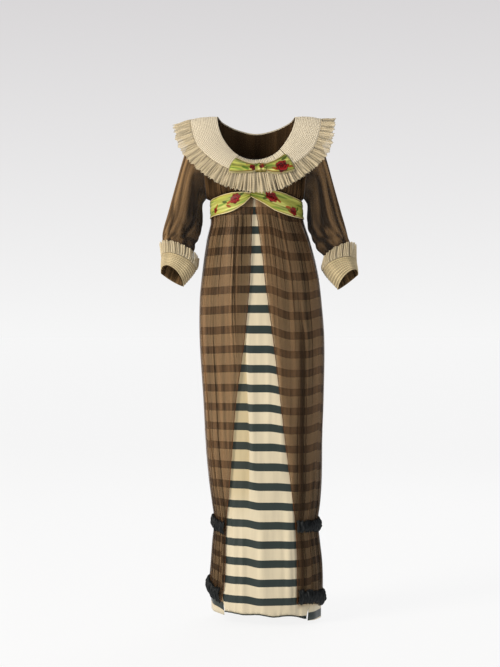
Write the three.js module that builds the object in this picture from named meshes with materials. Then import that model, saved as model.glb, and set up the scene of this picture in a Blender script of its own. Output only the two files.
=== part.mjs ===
// Evening dress with a striped silk underskirt, a sheer chiffon tunic, a kimono bodice,
// a wide linen collar with a pleated ruffle, turned-back cuffs and a rose ribbon belt.
//
// Units are millimetres, +Z is up, the front faces -Y and the wearer's left is +X.
// The origin lies midway between the tops of the shoulders, where the wearer carries it.
// Every piece is a wall of cloth: a grid of points worked out from the sizes below, and a
// second grid one cloth thickness inside it.

import * as THREE from 'three';

// ---------------------------------------------------------------- driving sizes

const cloth = {
  chiffon: 1.1,
  silk: 1.3,
  linen: 1.4,
  ruffle: 1.4,
  ribbon: 1.2,
  ruching: 1.5,
};
const seamGap = 0.45;
const halfSeam = 0.15;        // degrees that each side keeps from a seam up the body
const squareness = 2.25;      // superellipse power of the body's sections
const underskirtInset = 6;    // the silk hangs this far inside the chiffon

// The tunic's sections: how wide and deep the skirt is at each height, how far its centre
// leans to +X, and where the two front edges of the chiffon hang.
const skirtSections = [
  { z: -214, half: 118, front: 96, back: 83, centre: 3, leftEdge: -3.5, rightEdge: 0 },
  { z: -240, half: 118, front: 97, back: 84, centre: 4, leftEdge: -4.5, rightEdge: 1 },
  { z: -262, half: 119, front: 98, back: 87, centre: 5, leftEdge: -8, rightEdge: 4 },
  { z: -283, half: 122, front: 100, back: 91, centre: 7, leftEdge: -9, rightEdge: 8 },
  { z: -323, half: 135, front: 104, back: 99, centre: 9, leftEdge: -10, rightEdge: 13 },
  { z: -377, half: 148, front: 110, back: 110, centre: 12, leftEdge: -12, rightEdge: 20 },
  { z: -431, half: 158, front: 116, back: 120, centre: 14, leftEdge: -14, rightEdge: 26 },
  { z: -485, half: 164, front: 120, back: 127, centre: 15, leftEdge: -18, rightEdge: 33 },
  { z: -594, half: 168, front: 123, back: 131, centre: 19, leftEdge: -29, rightEdge: 48 },
  { z: -755, half: 162, front: 121, back: 127, centre: 23, leftEdge: -51, rightEdge: 67 },
  { z: -863, half: 157, front: 119, back: 124, centre: 24, leftEdge: -60, rightEdge: 80 },
  { z: -971, half: 151, front: 117, back: 120, centre: 28, leftEdge: -68, rightEdge: 94 },
  { z: -1030, half: 145, front: 115, back: 117, centre: 30, leftEdge: -73, rightEdge: 101 },
  { z: -1080, half: 139, front: 113, back: 115, centre: 30, leftEdge: -77, rightEdge: 107 },
  { z: -1133, half: 144, front: 117, back: 123, centre: 30, leftEdge: -79, rightEdge: 110 },
  { z: -1187, half: 149, front: 120, back: 134, centre: 31, leftEdge: -79, rightEdge: 111 },
  { z: -1241, half: 152, front: 123, back: 147, centre: 30, leftEdge: -82, rightEdge: 111 },
  { z: -1310, half: 150, front: 125, back: 164, centre: 30, leftEdge: -95, rightEdge: 111 },
];

// The waist seam and the edges of the belt, by angle round the body (0 = centre front).
const waist = { sideZ: -238, frontRise: 24 };

// Where the silk front panel meets the back one, as an angle from centre front.
const sideSeam = [
  { z: -214, angle: 80 },
  { z: -594, angle: 76 },
  { z: -1000, angle: 62 },
  { z: -1345, angle: 46 },
];
const underskirt = { topDrop: 6, frontHemZ: -1325, trainReach: 26, trainSpread: 0.2, trainFrom: -1292,
  foldShare: 0.6 };
const backHem = [
  { angle: -180, z: -1344 },
  { angle: -90, z: -1317 },
  { angle: -46, z: -1321 },
  { angle: 46, z: -1336 },
  { angle: 90, z: -1338 },
  { angle: 180, z: -1344 },
];

// Heights of the tunic's hem round the body.
const tunicHem = [
  { angle: -180, z: -1286 },
  { angle: -90, z: -1268 },
  { angle: -50, z: -1288 },
  { angle: 40, z: -1290 },
  { angle: 90, z: -1303 },
  { angle: 180, z: -1286 },
];

// Folds that stand out of the chiffon: angle, how far out, half-width in degrees, ends.
const tunicFolds = [
  { angle: -24, height: 5, width: 5, top: -235, bottom: -640 },
  { angle: -52, height: 4, width: 5, top: -500, bottom: -1180 },
  { angle: -66, height: 5, width: 6, top: -420, bottom: -1280 },
  { angle: -112, height: 5, width: 7, top: -260, bottom: -900 },
  { angle: -150, height: 6, width: 7, top: -300, bottom: -1240 },
  { angle: 22, height: 4, width: 5, top: -235, bottom: -560 },
  { angle: 40, height: 6, width: 5, top: -520, bottom: -1290 },
  { angle: 68, height: 4, width: 6, top: -300, bottom: -980 },
  { angle: 115, height: 5, width: 7, top: -280, bottom: -1100 },
  { angle: 152, height: 6, width: 7, top: -320, bottom: -1250 },
];
const gathers = { perSide: 9, height: 2.4, fadeFrom: -235, fadeTo: -470 };

// Folds of the silk front panel: across, how far out, half-width in mm, ends.
const silkFolds = [
  { x: -6, height: 3.5, width: 9, top: -560, bottom: -1010 },
  { x: -56, height: 4, width: 12, top: -900, bottom: -1335 },
  { x: 18, height: 4, width: 22, top: -1000, bottom: -1335 },
  { x: 92, height: 4, width: 14, top: -960, bottom: -1335 },
];

// The collar by angle round the neck (0 = centre front, 90 = wearer's left shoulder):
// neckline, seam between linen and ruffle, and the ruffle's free edge.
const collarRows = [
  { angle: -180, neck: [4, 66, -30], seam: [4, 104, -92], edge: [4, 120, -138] },
  { angle: -150, neck: [-48, 57, -20], seam: [-92, 92, -66], edge: [-120, 110, -106] },
  { angle: -120, neck: [-86, 34, -4], seam: [-152, 50, -26], edge: [-194, 62, -52] },
  { angle: -90, neck: [-101, 0, 7], seam: [-173, 0, 0], edge: [-218, -2, -15] },
  { angle: -60, neck: [-87, -42, -51], seam: [-152, -66, -77], edge: [-191, -66, -99] },
  { angle: -30, neck: [-49, -73, -100], seam: [-76, -111, -139], edge: [-97, -125, -181] },
  { angle: 0, neck: [3, -85, -116], seam: [8, -120, -152], edge: [13, -138, -207] },
  { angle: 30, neck: [56, -73, -96], seam: [78, -115, -141], edge: [97, -127, -183] },
  { angle: 60, neck: [94, -42, -42], seam: [154, -66, -84], edge: [191, -68, -101] },
  { angle: 90, neck: [108, 0, 7], seam: [179, 0, 2], edge: [216, -3, 3] },
  { angle: 120, neck: [94, 34, -4], seam: [160, 50, -24], edge: [198, 62, -46] },
  { angle: 150, neck: [56, 57, -20], seam: [100, 92, -66], edge: [128, 110, -106] },
];
const collar = { leftEnd: -27, rightEnd: 37, crown: 4 };
const ruffle = { pleats: 50, height: 3.2, atSeam: 0.3, joinAngle: 17, join: 0.8 };
const insert = { pleats: 12, height: 1.3 };

// Bodice: neckline inside the collar's, shoulder point, armhole ring.
const bodice = { neckIn: 4, neckDown: 3, neckShare: 0.62, bust: 17, bustSides: 17, pouch: 9 };

// The sleeve's rings on the wearer's left: the outer and inner points of each ring, its
// half-depth front to back, how far it comes forward and how far its front edge rises.
const sleeveRings = [
  { out: [148, -24], in: [131, -213], depth: 63, forward: 0, rise: 0 },
  { out: [178, -64], in: [140, -224], depth: 61, forward: 0, rise: 0 },
  { out: [194, -112], in: [142, -238], depth: 58, forward: -1, rise: 0 },
  { out: [207, -160], in: [142, -252], depth: 54, forward: -3, rise: 0 },
  { out: [221, -215], in: [143, -272], depth: 50, forward: -6, rise: 2 },
  { out: [232, -260], in: [147, -294], depth: 46, forward: -10, rise: 6 },
  { out: [243, -300], in: [155, -318], depth: 43, forward: -15, rise: 10 },
];
// The wrist's rings differ on the two arms: sleeve end, then the cuff's three edges.
const wrists = {
  left: {
    side: 1,
    sleeve: [
      { out: [252, -330], in: [168, -345], depth: 39, forward: -20, rise: 12 },
      { out: [258, -352], in: [194, -380], depth: 34, forward: -25, rise: 16 },
      { out: [262, -380], in: [206, -408], depth: 28, forward: -30, rise: 18 },
      { out: [273, -420], in: [226, -452], depth: 25, forward: -36, rise: 22 },
    ],
    cuff: [
      { out: [276, -418], in: [222, -458], depth: 29, forward: -36, rise: 26 },
      { out: [272, -384], in: [181, -408], depth: 42, forward: -30, rise: 22 },
      { out: [271, -341], in: [184, -376], depth: 50, forward: -22, rise: 20 },
    ],
  },
  right: {
    side: -1,
    sleeve: [
      { out: [247, -325], in: [163, -342], depth: 39, forward: -20, rise: 12 },
      { out: [243, -350], in: [176, -378], depth: 34, forward: -25, rise: 16 },
      { out: [240, -378], in: [184, -402], depth: 28, forward: -30, rise: 20 },
      { out: [247, -412], in: [198, -442], depth: 25, forward: -36, rise: 28 },
    ],
    cuff: [
      { out: [252, -414], in: [192, -449], depth: 29, forward: -36, rise: 33 },
      { out: [251, -371], in: [157, -405], depth: 42, forward: -30, rise: 22 },
      { out: [254, -335], in: [152, -374], depth: 50, forward: -22, rise: 20 },
    ],
  },
};
const backRise = 0.15;        // the wrist's edges arch up in front and stay level behind
const sleeveFolds = { count: 5, height: 3, columns: 20 };
const cuff = { pleats: 16, pleatHeight: 3, slitAt: 200, slit: 8 };

// The belt's two halves: the height of the middle line and the half-width round the body.
const belt = { standOff: 4.2, crown: 0.8, columns: 22, crowding: 1.25, backSeam: 0.2 };
const beltRows = {
  right: [
    { angle: -180, z: -243, half: 21 },
    { angle: -90, z: -244, half: 22 },
    { angle: -60, z: -238, half: 24 },
    { angle: -31, z: -229, half: 25 },
    { angle: -14, z: -219, half: 17 },
    { angle: -5.4, z: -211, half: 6 },
  ],
  left: [
    { angle: -5, z: -208, half: 7 },
    { angle: 6, z: -215, half: 17 },
    { angle: 22, z: -226, half: 27 },
    { angle: 50, z: -240, half: 27 },
    { angle: 90, z: -246, half: 22 },
    { angle: 180, z: -243, half: 21 },
  ],
};

// Ruched bands round the tunic: height of the middle, half-width, and their puffs.
const upperBand = { z: -1080, leftDrop: 9, half: 16, bulge: 4.5, standOff: 2.8 };
const hemBand = { height: 34, lift: 2, bulge: 5, standOff: 2.1 };
const puffs = { count: 10, height: 1.5 };

// The bow's loops lie on the collar: the angles and the shares of its width they span at
// the knot and at their outer ends, and how far their two layers stand off it.
const bowLoops = [
  { name: 'bow_loop_right', knot: -3, tip: -30, knotSpan: [0.36, 0.84], tipSpan: [0.1, 1.02] },
  { name: 'bow_loop_left', knot: 9, tip: 38, knotSpan: [0.34, 0.86], tipSpan: [0.08, 1.06] },
];
const bow = { back: 2, front: 7, pouf: 3.5, knotFrom: -2.75, knotTo: 8.75, knotRise: 2,
  loopLength: 60 };

// ---------------------------------------------------------------- small helpers

const radians = Math.PI / 180;
const mix = (a, b, t) => a + (b - a) * t;
const clamp = (value, low, high) => Math.min(high, Math.max(low, value));
const smooth = (low, high, value) => {
  const t = clamp((value - low) / (high - low), 0, 1);
  return t * t * (3 - 2 * t);
};
const signedPower = (value, power) => Math.sign(value) * Math.abs(value) ** power;
const range = (count) => Array.from({ length: count + 1 }, (_, i) => i / count);

// A smooth curve through the rows of a table: cubic pieces with averaged slopes.
function readTable(rows, key, column, at) {
  const step = Math.sign(rows[1][key] - rows[0][key]);
  let i = 0;
  while (i < rows.length - 2 && (at - rows[i + 1][key]) * step > 0) i += 1;
  const width = rows[i + 1][key] - rows[i][key];
  const t = clamp((at - rows[i][key]) / width, 0, 1);
  const slope = (j) => {
    const before = rows[Math.max(j - 1, 0)];
    const after = rows[Math.min(j + 1, rows.length - 1)];
    return (column(after) - column(before)) / (after[key] - before[key]);
  };
  const [p0, p1] = [column(rows[i]), column(rows[i + 1])];
  const [m0, m1] = [slope(i) * width, slope(i + 1) * width];
  const t2 = t * t;
  const t3 = t2 * t;
  return (2 * t3 - 3 * t2 + 1) * p0 + (t3 - 2 * t2 + t) * m0
    + (3 * t2 - 2 * t3) * p1 + (t3 - t2) * m1;
}

// The same round a full turn, for tables keyed by angle from -180 up to 150.
function readRound(rows, column, angle) {
  const turn = ((angle + 180) % 360 + 360) % 360 - 180;
  const shifted = (row, by) => ({ angle: row.angle + by, value: column(row) });
  const ring = [
    ...rows.slice(-2).map((row) => shifted(row, -360)),
    ...rows.map((row) => shifted(row, 0)),
    ...rows.slice(0, 2).map((row) => shifted(row, 360)),
  ];
  return readTable(ring, 'angle', (row) => row.value, turn);
}

// A grid of points: one row for each v, one point in it for each u.
function makeGrid(us, vs, point) {
  return vs.map((v) => us.map((u) => point(u, v)));
}

// The grid moved along its normals, which come from the differences to its neighbours.
function offsetGrid(grid, distance) {
  const rows = grid.length;
  const columns = grid[0].length;
  return grid.map((row, j) => row.map((p, i) => {
    const along = row[Math.min(i + 1, columns - 1)].clone().sub(row[Math.max(i - 1, 0)]);
    const across = grid[Math.min(j + 1, rows - 1)][i].clone().sub(grid[Math.max(j - 1, 0)][i]);
    return p.clone().addScaledVector(along.cross(across).normalize(), distance);
  }));
}

// A closed wall between two grids of the same size.
function wallBetween(outer, inner, closed = false) {
  const rows = outer.length;
  const columns = outer[0].length;
  const positions = [];
  for (const grid of [outer, inner]) {
    for (const row of grid) {
      for (const p of row) positions.push(p.x, p.y, p.z);
    }
  }
  const index = [];
  const at = (layer, j, i) => layer * rows * columns + j * columns + (i % columns);
  const quad = (a, b, c, d) => index.push(a, b, c, a, c, d);
  const spans = closed ? columns : columns - 1;
  for (let j = 0; j < rows - 1; j += 1) {
    for (let i = 0; i < spans; i += 1) {
      quad(at(0, j, i), at(0, j, i + 1), at(0, j + 1, i + 1), at(0, j + 1, i));
      quad(at(1, j, i), at(1, j + 1, i), at(1, j + 1, i + 1), at(1, j, i + 1));
    }
  }
  for (let i = 0; i < spans; i += 1) {
    quad(at(0, 0, i), at(1, 0, i), at(1, 0, i + 1), at(0, 0, i + 1));
    quad(at(0, rows - 1, i), at(0, rows - 1, i + 1), at(1, rows - 1, i + 1), at(1, rows - 1, i));
  }
  for (let j = 0; j < rows - 1 && !closed; j += 1) {
    const end = columns - 1;
    quad(at(0, j, 0), at(0, j + 1, 0), at(1, j + 1, 0), at(1, j, 0));
    quad(at(0, j, end), at(1, j, end), at(1, j + 1, end), at(0, j + 1, end));
  }
  const geometry = new THREE.BufferGeometry();
  geometry.setAttribute('position', new THREE.Float32BufferAttribute(positions, 3));
  geometry.setIndex(index);
  turnOutward(geometry);
  geometry.computeVertexNormals();
  return geometry;
}

// Reverses every face where the enclosed volume comes out negative.
function turnOutward(geometry) {
  const position = geometry.getAttribute('position');
  const index = geometry.getIndex();
  const [a, b, c] = [new THREE.Vector3(), new THREE.Vector3(), new THREE.Vector3()];
  let volume = 0;
  for (let i = 0; i < index.count; i += 3) {
    a.fromBufferAttribute(position, index.getX(i));
    b.fromBufferAttribute(position, index.getX(i + 1));
    c.fromBufferAttribute(position, index.getX(i + 2));
    volume += a.dot(b.cross(c)) / 6;
  }
  if (volume > 0) return;
  for (let i = 0; i < index.count; i += 3) {
    const second = index.getX(i + 1);
    index.setX(i + 1, index.getX(i + 2));
    index.setX(i + 2, second);
  }
}

const dress = new THREE.Group();

function addPiece(name, geometry, color, roughness) {
  const material = new THREE.MeshStandardMaterial({ color, roughness, metalness: 0 });
  const mesh = new THREE.Mesh(geometry, material);
  mesh.name = name;
  dress.add(mesh);
}

const colours = {
  chiffon: 0x5a4634,
  silk: 0xdccba3,
  linen: 0xe6d6b0,
  ruffle: 0xc9b48a,
  ribbon: 0xa9b56a,
  ruching: 0x14191b,
};

// ---------------------------------------------------------------- the body's sections

const section = (z, name) => readTable(skirtSections, 'z', (row) => row[name], z);

// A point of the skirt's section at height z, at an angle from centre front, set in or out.
function skirtPoint(angle, z, out = 0) {
  const turn = angle * radians;
  const power = 2 / squareness;
  const depth = Math.cos(turn) > 0 ? section(z, 'front') : section(z, 'back');
  const x = section(z, 'centre') + (section(z, 'half') + out) * signedPower(Math.sin(turn), power);
  const y = -(depth + out) * signedPower(Math.cos(turn), power);
  return new THREE.Vector3(x, y, z);
}

// The angle at which a point across the front lies on the section.
function frontAngle(x, z) {
  const share = (x - section(z, 'centre')) / section(z, 'half');
  return Math.asin(signedPower(clamp(share, -1, 1), squareness / 2)) / radians;
}

const waistZ = (angle) => waist.sideZ
  + waist.frontRise * Math.max(0, Math.cos(angle * radians)) ** 2;

// ---------------------------------------------------------------- chiffon tunic

function tunicRelief(angle, z) {
  let out = 0;
  for (const fold of tunicFolds) {
    const away = (angle - fold.angle) / fold.width;
    const fade = smooth(fold.bottom - 40, fold.bottom + 120, z)
      * (1 - smooth(fold.top - 90, fold.top + 10, z));
    out += fold.height * Math.exp(-away * away) * Math.max(fade, 0);
  }
  const ripple = 0.5 - 0.5 * Math.cos(angle * radians * 2 * gathers.perSide);
  const nearWaist = smooth(gathers.fadeTo, gathers.fadeFrom, z);
  return out + gathers.height * ripple * nearWaist;
}

const tunicPoint = (angle, z, out = 0) => skirtPoint(angle, z, out + tunicRelief(angle, z));
const tunicHemZ = (angle) => readTable(tunicHem, 'angle', (row) => row.z, angle);
const tunicTop = (angle) => waistZ(angle) - seamGap;

// One half of the tunic: u runs from the front edge to the centre back, v from top to hem.
const tunicRows = [0, 0.04, 0.1, 0.19, 0.3, 0.45, 0.6, 0.73, 0.785, 0.82, 0.9, 0.96, 1];
const tunicColumns = range(37).map((u) => u - 0.06 * Math.sin(2 * Math.PI * u));
function tunicAt(side, u, v, out = 0) {
  const edgeName = side > 0 ? 'rightEdge' : 'leftEdge';
  const backAngle = side * (180 - halfSeam);
  const startZ = mix(tunicTop(0), tunicHemZ(side * 45), v);
  const start = frontAngle(section(startZ, edgeName), startZ);
  const angle = mix(start, backAngle, u);
  const z = mix(tunicTop(angle), tunicHemZ(angle), v);
  return tunicPoint(angle, z, out);
}

function buildTunic() {
  for (const [name, side] of [['tunic_left', 1], ['tunic_right', -1]]) {
    const grid = makeGrid(tunicColumns, tunicRows, (u, v) => tunicAt(side, u, v));
    if (side > 0) grid.forEach((row) => row.reverse());
    const shell = offsetTowardAxis(grid, cloth.chiffon);
    addPiece(name, wallBetween(grid, shell), colours.chiffon, 0.8);
  }
}

// A copy of a body grid drawn in towards the body's axis, which keeps walls from crossing.
function offsetTowardAxis(grid, distance) {
  return grid.map((row) => row.map((p) => {
    const axis = new THREE.Vector3(section(p.z, 'centre'), 0, p.z);
    const inward = axis.sub(p).normalize();
    return p.clone().addScaledVector(inward, distance);
  }));
}

// ---------------------------------------------------------------- silk underskirt

function silkRelief(x, z) {
  let out = 0;
  for (const fold of silkFolds) {
    const away = (x - fold.x) / fold.width;
    const fade = smooth(fold.bottom - 60, fold.bottom + 100, z)
      * (1 - smooth(fold.top - 160, fold.top, z));
    out += fold.height * Math.exp(-away * away) * fade;
  }
  return out;
}

const seamAngle = (z) => readTable(sideSeam, 'z', (row) => row.angle, z);

function silkPoint(angle, z, out = 0) {
  const flat = skirtPoint(angle, z);
  return skirtPoint(angle, z, out - underskirtInset + silkRelief(flat.x, z) * underskirt.foldShare);
}

// The train: the back panel swings out towards the floor.
function trainOut(angle, z) {
  const low = 1 - smooth(backHem[0].z, underskirt.trainFrom, z);
  const behind = Math.max(0, -Math.cos(angle * radians));
  return low * underskirt.trainReach * behind;
}

const backHemZ = (turn) => readTable(backHem, 'angle', (row) => row.z,
  turn > 180 ? turn - 360 : turn);

const silkRows = [0, 0.04, 0.1, 0.18, 0.28, 0.4, 0.54, 0.68, 0.79, 0.88, 0.95, 1];

function buildUnderskirt() {
  const top = (angle) => waistZ(angle) - underskirt.topDrop;
  const front = makeGrid(range(20), silkRows, (u, v) => {
    const z = mix(top(0), underskirt.frontHemZ, v);
    const edge = seamAngle(z) - halfSeam;
    const angle = mix(-edge, edge, u);
    return silkPoint(angle, z);
  });
  addPiece('underskirt_front', wallBetween(front, offsetTowardAxis(front, cloth.silk)),
    colours.silk, 0.45);
  const back = makeGrid(range(18), silkRows, (u, v) => {
    const turn = mix(backHem[3].angle, 360 - backHem[3].angle, u);
    const z = mix(top(turn), backHemZ(turn), v);
    const edge = seamAngle(z) + halfSeam;
    const angle = mix(edge, 360 - edge, u);
    const point = skirtPoint(angle, z, -underskirtInset);
    const away = trainOut(angle, z);
    point.y += away;
    point.x += Math.sign(point.x - section(z, 'centre')) * underskirt.trainSpread * away;
    return point;
  });
  addPiece('underskirt_back', wallBetween(back, offsetTowardAxis(back, cloth.silk)),
    colours.silk, 0.45);
}

// ---------------------------------------------------------------- collar and ruffle

// A point of the collar: share 0 is the neckline, 1 the ruffle's seam, 2 its free edge.
function collarPoint(angle, share, out = 0) {
  const read = (name, axis) => readRound(collarRows, (row) => row[name][axis], angle);
  const ring = (name) => new THREE.Vector3(read(name, 0), read(name, 1), read(name, 2));
  const inner = share < 1 ? ring('neck') : ring('seam');
  const outer = share < 1 ? ring('seam') : ring('edge');
  const t = share < 1 ? share : share - 1;
  const crown = share < 1 ? collar.crown * 4 * t * (1 - t) : 0;
  return inner.lerp(outer, t).addScaledVector(collarOutward(angle), crown + out);
}

// The direction that stands off the collar: forward and up, turning round the neck.
function collarOutward(angle) {
  const turn = angle * radians;
  const level = Math.abs(Math.sin(turn));
  return new THREE.Vector3(0.45 * Math.sin(turn), -0.86 * Math.cos(turn), 0.5 + 0.4 * level)
    .normalize();
}

// Angles at equal distances along one of the collar's rings.
function evenAngles(from, to, share, count) {
  const samples = range(720).map((t) => mix(from, to, t));
  const lengths = [0];
  for (let i = 1; i < samples.length; i += 1) {
    const step = collarPoint(samples[i], share).distanceTo(collarPoint(samples[i - 1], share));
    lengths.push(lengths[i - 1] + step);
  }
  const total = lengths[lengths.length - 1];
  let i = 1;
  return range(count).map((t) => {
    while (i < lengths.length - 1 && lengths[i] < t * total) i += 1;
    const within = (t * total - lengths[i - 1]) / (lengths[i] - lengths[i - 1]);
    return mix(samples[i - 1], samples[i], clamp(within, 0, 1));
  });
}

// One piece of the collar with pleats that run across it.
function collarPiece(angles, shares, thickness, pleat) {
  const relief = (i, share) => (pleat ? pleat(i, share) : 0);
  const outer = shares.map((share) => angles.map(
    (angle, i) => collarPoint(angle, share, relief(i, share))));
  const inner = shares.map((share) => angles.map(
    (angle, i) => collarPoint(angle, share, relief(i, share) - thickness)));
  return wallBetween(outer, inner);
}

const stepsPerPleat = 4;
const pleatWave = (i) => Math.sin((i / stepsPerPleat) * 2 * Math.PI + Math.PI / 4);

function buildCollar() {
  const edge = 0.01;
  const flat = evenAngles(collar.rightEnd, 360 + collar.leftEnd, 0.6, 30);
  addPiece('collar_linen', collarPiece(flat, [0, 0.5, 1 - edge], cloth.linen),
    colours.linen, 0.75);
  const between = evenAngles(collar.leftEnd + 0.5, collar.rightEnd - 0.5, 0.6,
    insert.pleats * stepsPerPleat);
  addPiece('collar_insert', collarPiece(between, [0, 0.5, 1 - edge], cloth.linen,
    (i) => insert.height * pleatWave(i)), colours.linen, 0.75);
  const round = evenAngles(ruffle.joinAngle, ruffle.joinAngle + 360 - ruffle.join, 1.7,
    ruffle.pleats * stepsPerPleat);
  addPiece('collar_ruffle', collarPiece(round, [1 + edge, 1.4, 2], cloth.ruffle,
    (i, share) => ruffle.height * mix(ruffle.atSeam, 1, share - 1) * pleatWave(i)),
  colours.ruffle, 0.7);
}

// ---------------------------------------------------------------- bow

// A ribbon loop: a ring of cloth with a front and a back layer, closed at both ends.
function ribbonLoop(fromAngle, toAngle, spanAt, frontAt, backOut, steps) {
  const path = [
    ...range(steps).map((t) => ({ t, layer: 1 })),
    ...range(steps).map((t) => ({ t: 1 - t, layer: 0 })),
  ];
  const across = [0, 0.5, 1];
  const grid = (inset) => across.map((s) => path.map(({ t, layer }) => {
    const shrink = inset / bow.loopLength;
    const along = mix(shrink, 1 - shrink, t);
    const [low, high] = spanAt(along);
    const out = layer ? frontAt(along, s) - inset : backOut + inset;
    return collarPoint(mix(fromAngle, toAngle, along), mix(low, high, s), out);
  }));
  return wallBetween(grid(0), grid(cloth.ribbon), true);
}

function buildBow() {
  for (const loop of bowLoops) {
    const spanAt = (t) => [0, 1].map((end) => mix(loop.knotSpan[end], loop.tipSpan[end], t));
    const frontAt = (t, s) => bow.front + bow.pouf * Math.sin(Math.PI * t) * Math.sin(Math.PI * s);
    addPiece(loop.name, ribbonLoop(loop.knot, loop.tip, spanAt, frontAt, bow.back, 6),
      colours.ribbon, 0.4);
  }
  const spanAt = () => bowLoops[0].knotSpan;
  const frontAt = (t, s) => bow.front + bow.knotRise * Math.sin(Math.PI * s);
  addPiece('bow_knot', ribbonLoop(bow.knotFrom, bow.knotTo, spanAt, frontAt, bow.back, 3),
    colours.ribbon, 0.4);
}

// ---------------------------------------------------------------- bodice

// A ring of a sleeve or cuff on one arm: 0 is its outer point, 90 its front, 180 its inner.
function armRing(row, side) {
  const out = new THREE.Vector3(side * row.out[0], row.forward, row.out[1]);
  const inn = new THREE.Vector3(side * row.in[0], row.forward, row.in[1]);
  const centre = out.clone().add(inn).multiplyScalar(0.5);
  return {
    centre,
    across: out.sub(inn).multiplyScalar(0.5),
    forward: new THREE.Vector3(0, -row.depth, row.rise),
  };
}

function ringPoint(ring, angle, out = 0) {
  const turn = angle * radians;
  const reach = ring.across.clone().multiplyScalar(Math.cos(turn))
    .addScaledVector(ring.forward, Math.sin(turn));
  const inFront = smooth(-0.5, 0.5, Math.sin(turn));
  reach.z -= (1 - backRise) * (1 - inFront) * ring.forward.z * Math.sin(turn);
  return ring.centre.clone().add(reach).addScaledVector(reach.clone().normalize(), out);
}

// Shares of the bodice's height: what the belt covers, and where the armhole starts.
const tucked = 0.1;
const armholeStart = 0.16;

// The height of the belt's upper edge round the body.
function beltTop(angle) {
  const rows = angle > beltRows.left[0].angle ? beltRows.left : beltRows.right;
  return readTable(rows, 'angle', (row) => row.z + row.half, angle);
}

// The bodice's lower edge lies flat under the belt, from the waist seam to the belt's top.
function tuckedPoint(angle, share) {
  const turn = angle > 180 ? angle - 360 : angle;
  const z = mix(waistZ(turn) + seamGap, beltTop(turn) + 1.5, share);
  return skirtPoint(turn, z, 0.5);
}

// The side edge of the bodice: up the side seam, then half-way round the armhole.
function bodiceSide(face, side, v) {
  if (v <= tucked) return tuckedPoint(side * 90, v / tucked);
  const ring = armRing(sleeveRings[0], side);
  if (v < armholeStart) {
    const share = (v - tucked) / (armholeStart - tucked);
    return tuckedPoint(side * 90, 1).lerp(ringPoint(ring, 180), share);
  }
  const turn = mix(180, 0, (v - armholeStart) / (1 - armholeStart));
  return ringPoint(ring, face > 0 ? turn : -turn);
}

// The top edge: the neckline across the middle, then the shoulder seam.
function bodiceTop(face, u) {
  const neckAt = (share) => {
    const angle = face > 0 ? share * 90 : 180 - share * 90;
    const point = collarPoint(angle, 0);
    const centre = new THREE.Vector3(3.5, 0, point.z);
    const inward = centre.sub(point).normalize().multiplyScalar(bodice.neckIn);
    return point.add(inward).add(new THREE.Vector3(0, 0, -bodice.neckDown));
  };
  const share = Math.abs(u) / bodice.neckShare;
  if (share <= 1) return neckAt(u / bodice.neckShare);
  const shoulder = ringPoint(armRing(sleeveRings[0], Math.sign(u)), 0);
  const t = (share - 1) / (1 / bodice.neckShare - 1);
  return neckAt(Math.sign(u)).lerp(shoulder, t);
}

function bodicePoint(face, u, v) {
  const angle = face > 0 ? u * 90 : 180 - u * 90;
  if (v <= tucked) return tuckedPoint(angle, v / tucked);
  const w = (v - tucked) / (1 - tucked);
  const side = Math.sign(u) || 1;
  const edgeMiss = bodiceSide(face, side, v)
    .sub(bodiceSide(face, side, tucked).lerp(bodiceTop(face, side), w));
  const point = tuckedPoint(angle, 1).lerp(bodiceTop(face, u), w)
    .addScaledVector(edgeMiss, Math.abs(u) ** 3.2);
  const width = 1 - u ** 4;
  const breast = bodice.bust + bodice.bustSides * Math.sin(Math.PI * Math.abs(u)) ** 2;
  const fullness = face > 0 ? breast : bodice.bust * 0.8;
  const pouch = bodice.pouch * Math.exp(-(((w - 0.12) / 0.1) ** 2)) * smooth(0, 0.05, w);
  const rise = Math.sin(Math.PI * w ** 0.7) ** 1.5;
  point.y -= face * (fullness * rise + pouch) * width;
  return point;
}

const bodiceRows = [0, tucked, armholeStart, 0.22, 0.34, 0.5, 0.66, 0.82, 0.93, 1];
const bodiceColumns = [-1, -0.93, -0.82, -0.7, -0.62, -0.5, -0.36, -0.22, -0.1,
  0, 0.1, 0.22, 0.36, 0.5, 0.62, 0.7, 0.82, 0.93, 1];

// The inner face, with its rims laid in the planes of the seams that they meet.
function bodiceInner(outer, face) {
  const inner = offsetGrid(outer, -cloth.chiffon * face);
  const t = cloth.chiffon;
  const last = bodiceColumns.length - 1;
  const towards = (p, target) => p.clone().addScaledVector(target.clone().sub(p).normalize(), t);
  outer.forEach((row, j) => {
    for (const [i, side] of [[0, -1], [last, 1]]) {
      const ring = armRing(sleeveRings[0], side);
      const level = new THREE.Vector3(0, row[i].y, row[i].z);
      inner[j][i] = bodiceRows[j] < armholeStart ? towards(row[i], level)
        : towards(row[i], ring.centre);
    }
  });
  outer[0].forEach((p, i) => {
    inner[0][i] = towards(p, new THREE.Vector3(section(p.z, 'centre'), 0, p.z));
  });
  outer[outer.length - 1].forEach((p, i) => {
    const onShoulder = Math.abs(bodiceColumns[i]) > bodice.neckShare - 0.01;
    const below = new THREE.Vector3(p.x, p.y, p.z - t);
    if (onShoulder) inner[outer.length - 1][i] = below;
  });
  return inner;
}

function buildBodice() {
  for (const [name, face] of [['bodice_front', 1], ['bodice_back', -1]]) {
    const outer = makeGrid(bodiceColumns, bodiceRows, (u, v) => bodicePoint(face, u, v));
    const inner = bodiceInner(outer, face);
    const partFrontAndBack = (p) => {
      p.y -= face * seamGap / 2;
    };
    outer.flat().forEach(partFrontAndBack);
    inner.flat().forEach(partFrontAndBack);
    addPiece(name, wallBetween(outer, inner), colours.chiffon, 0.8);
  }
}

// ---------------------------------------------------------------- sleeves and cuffs

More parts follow.
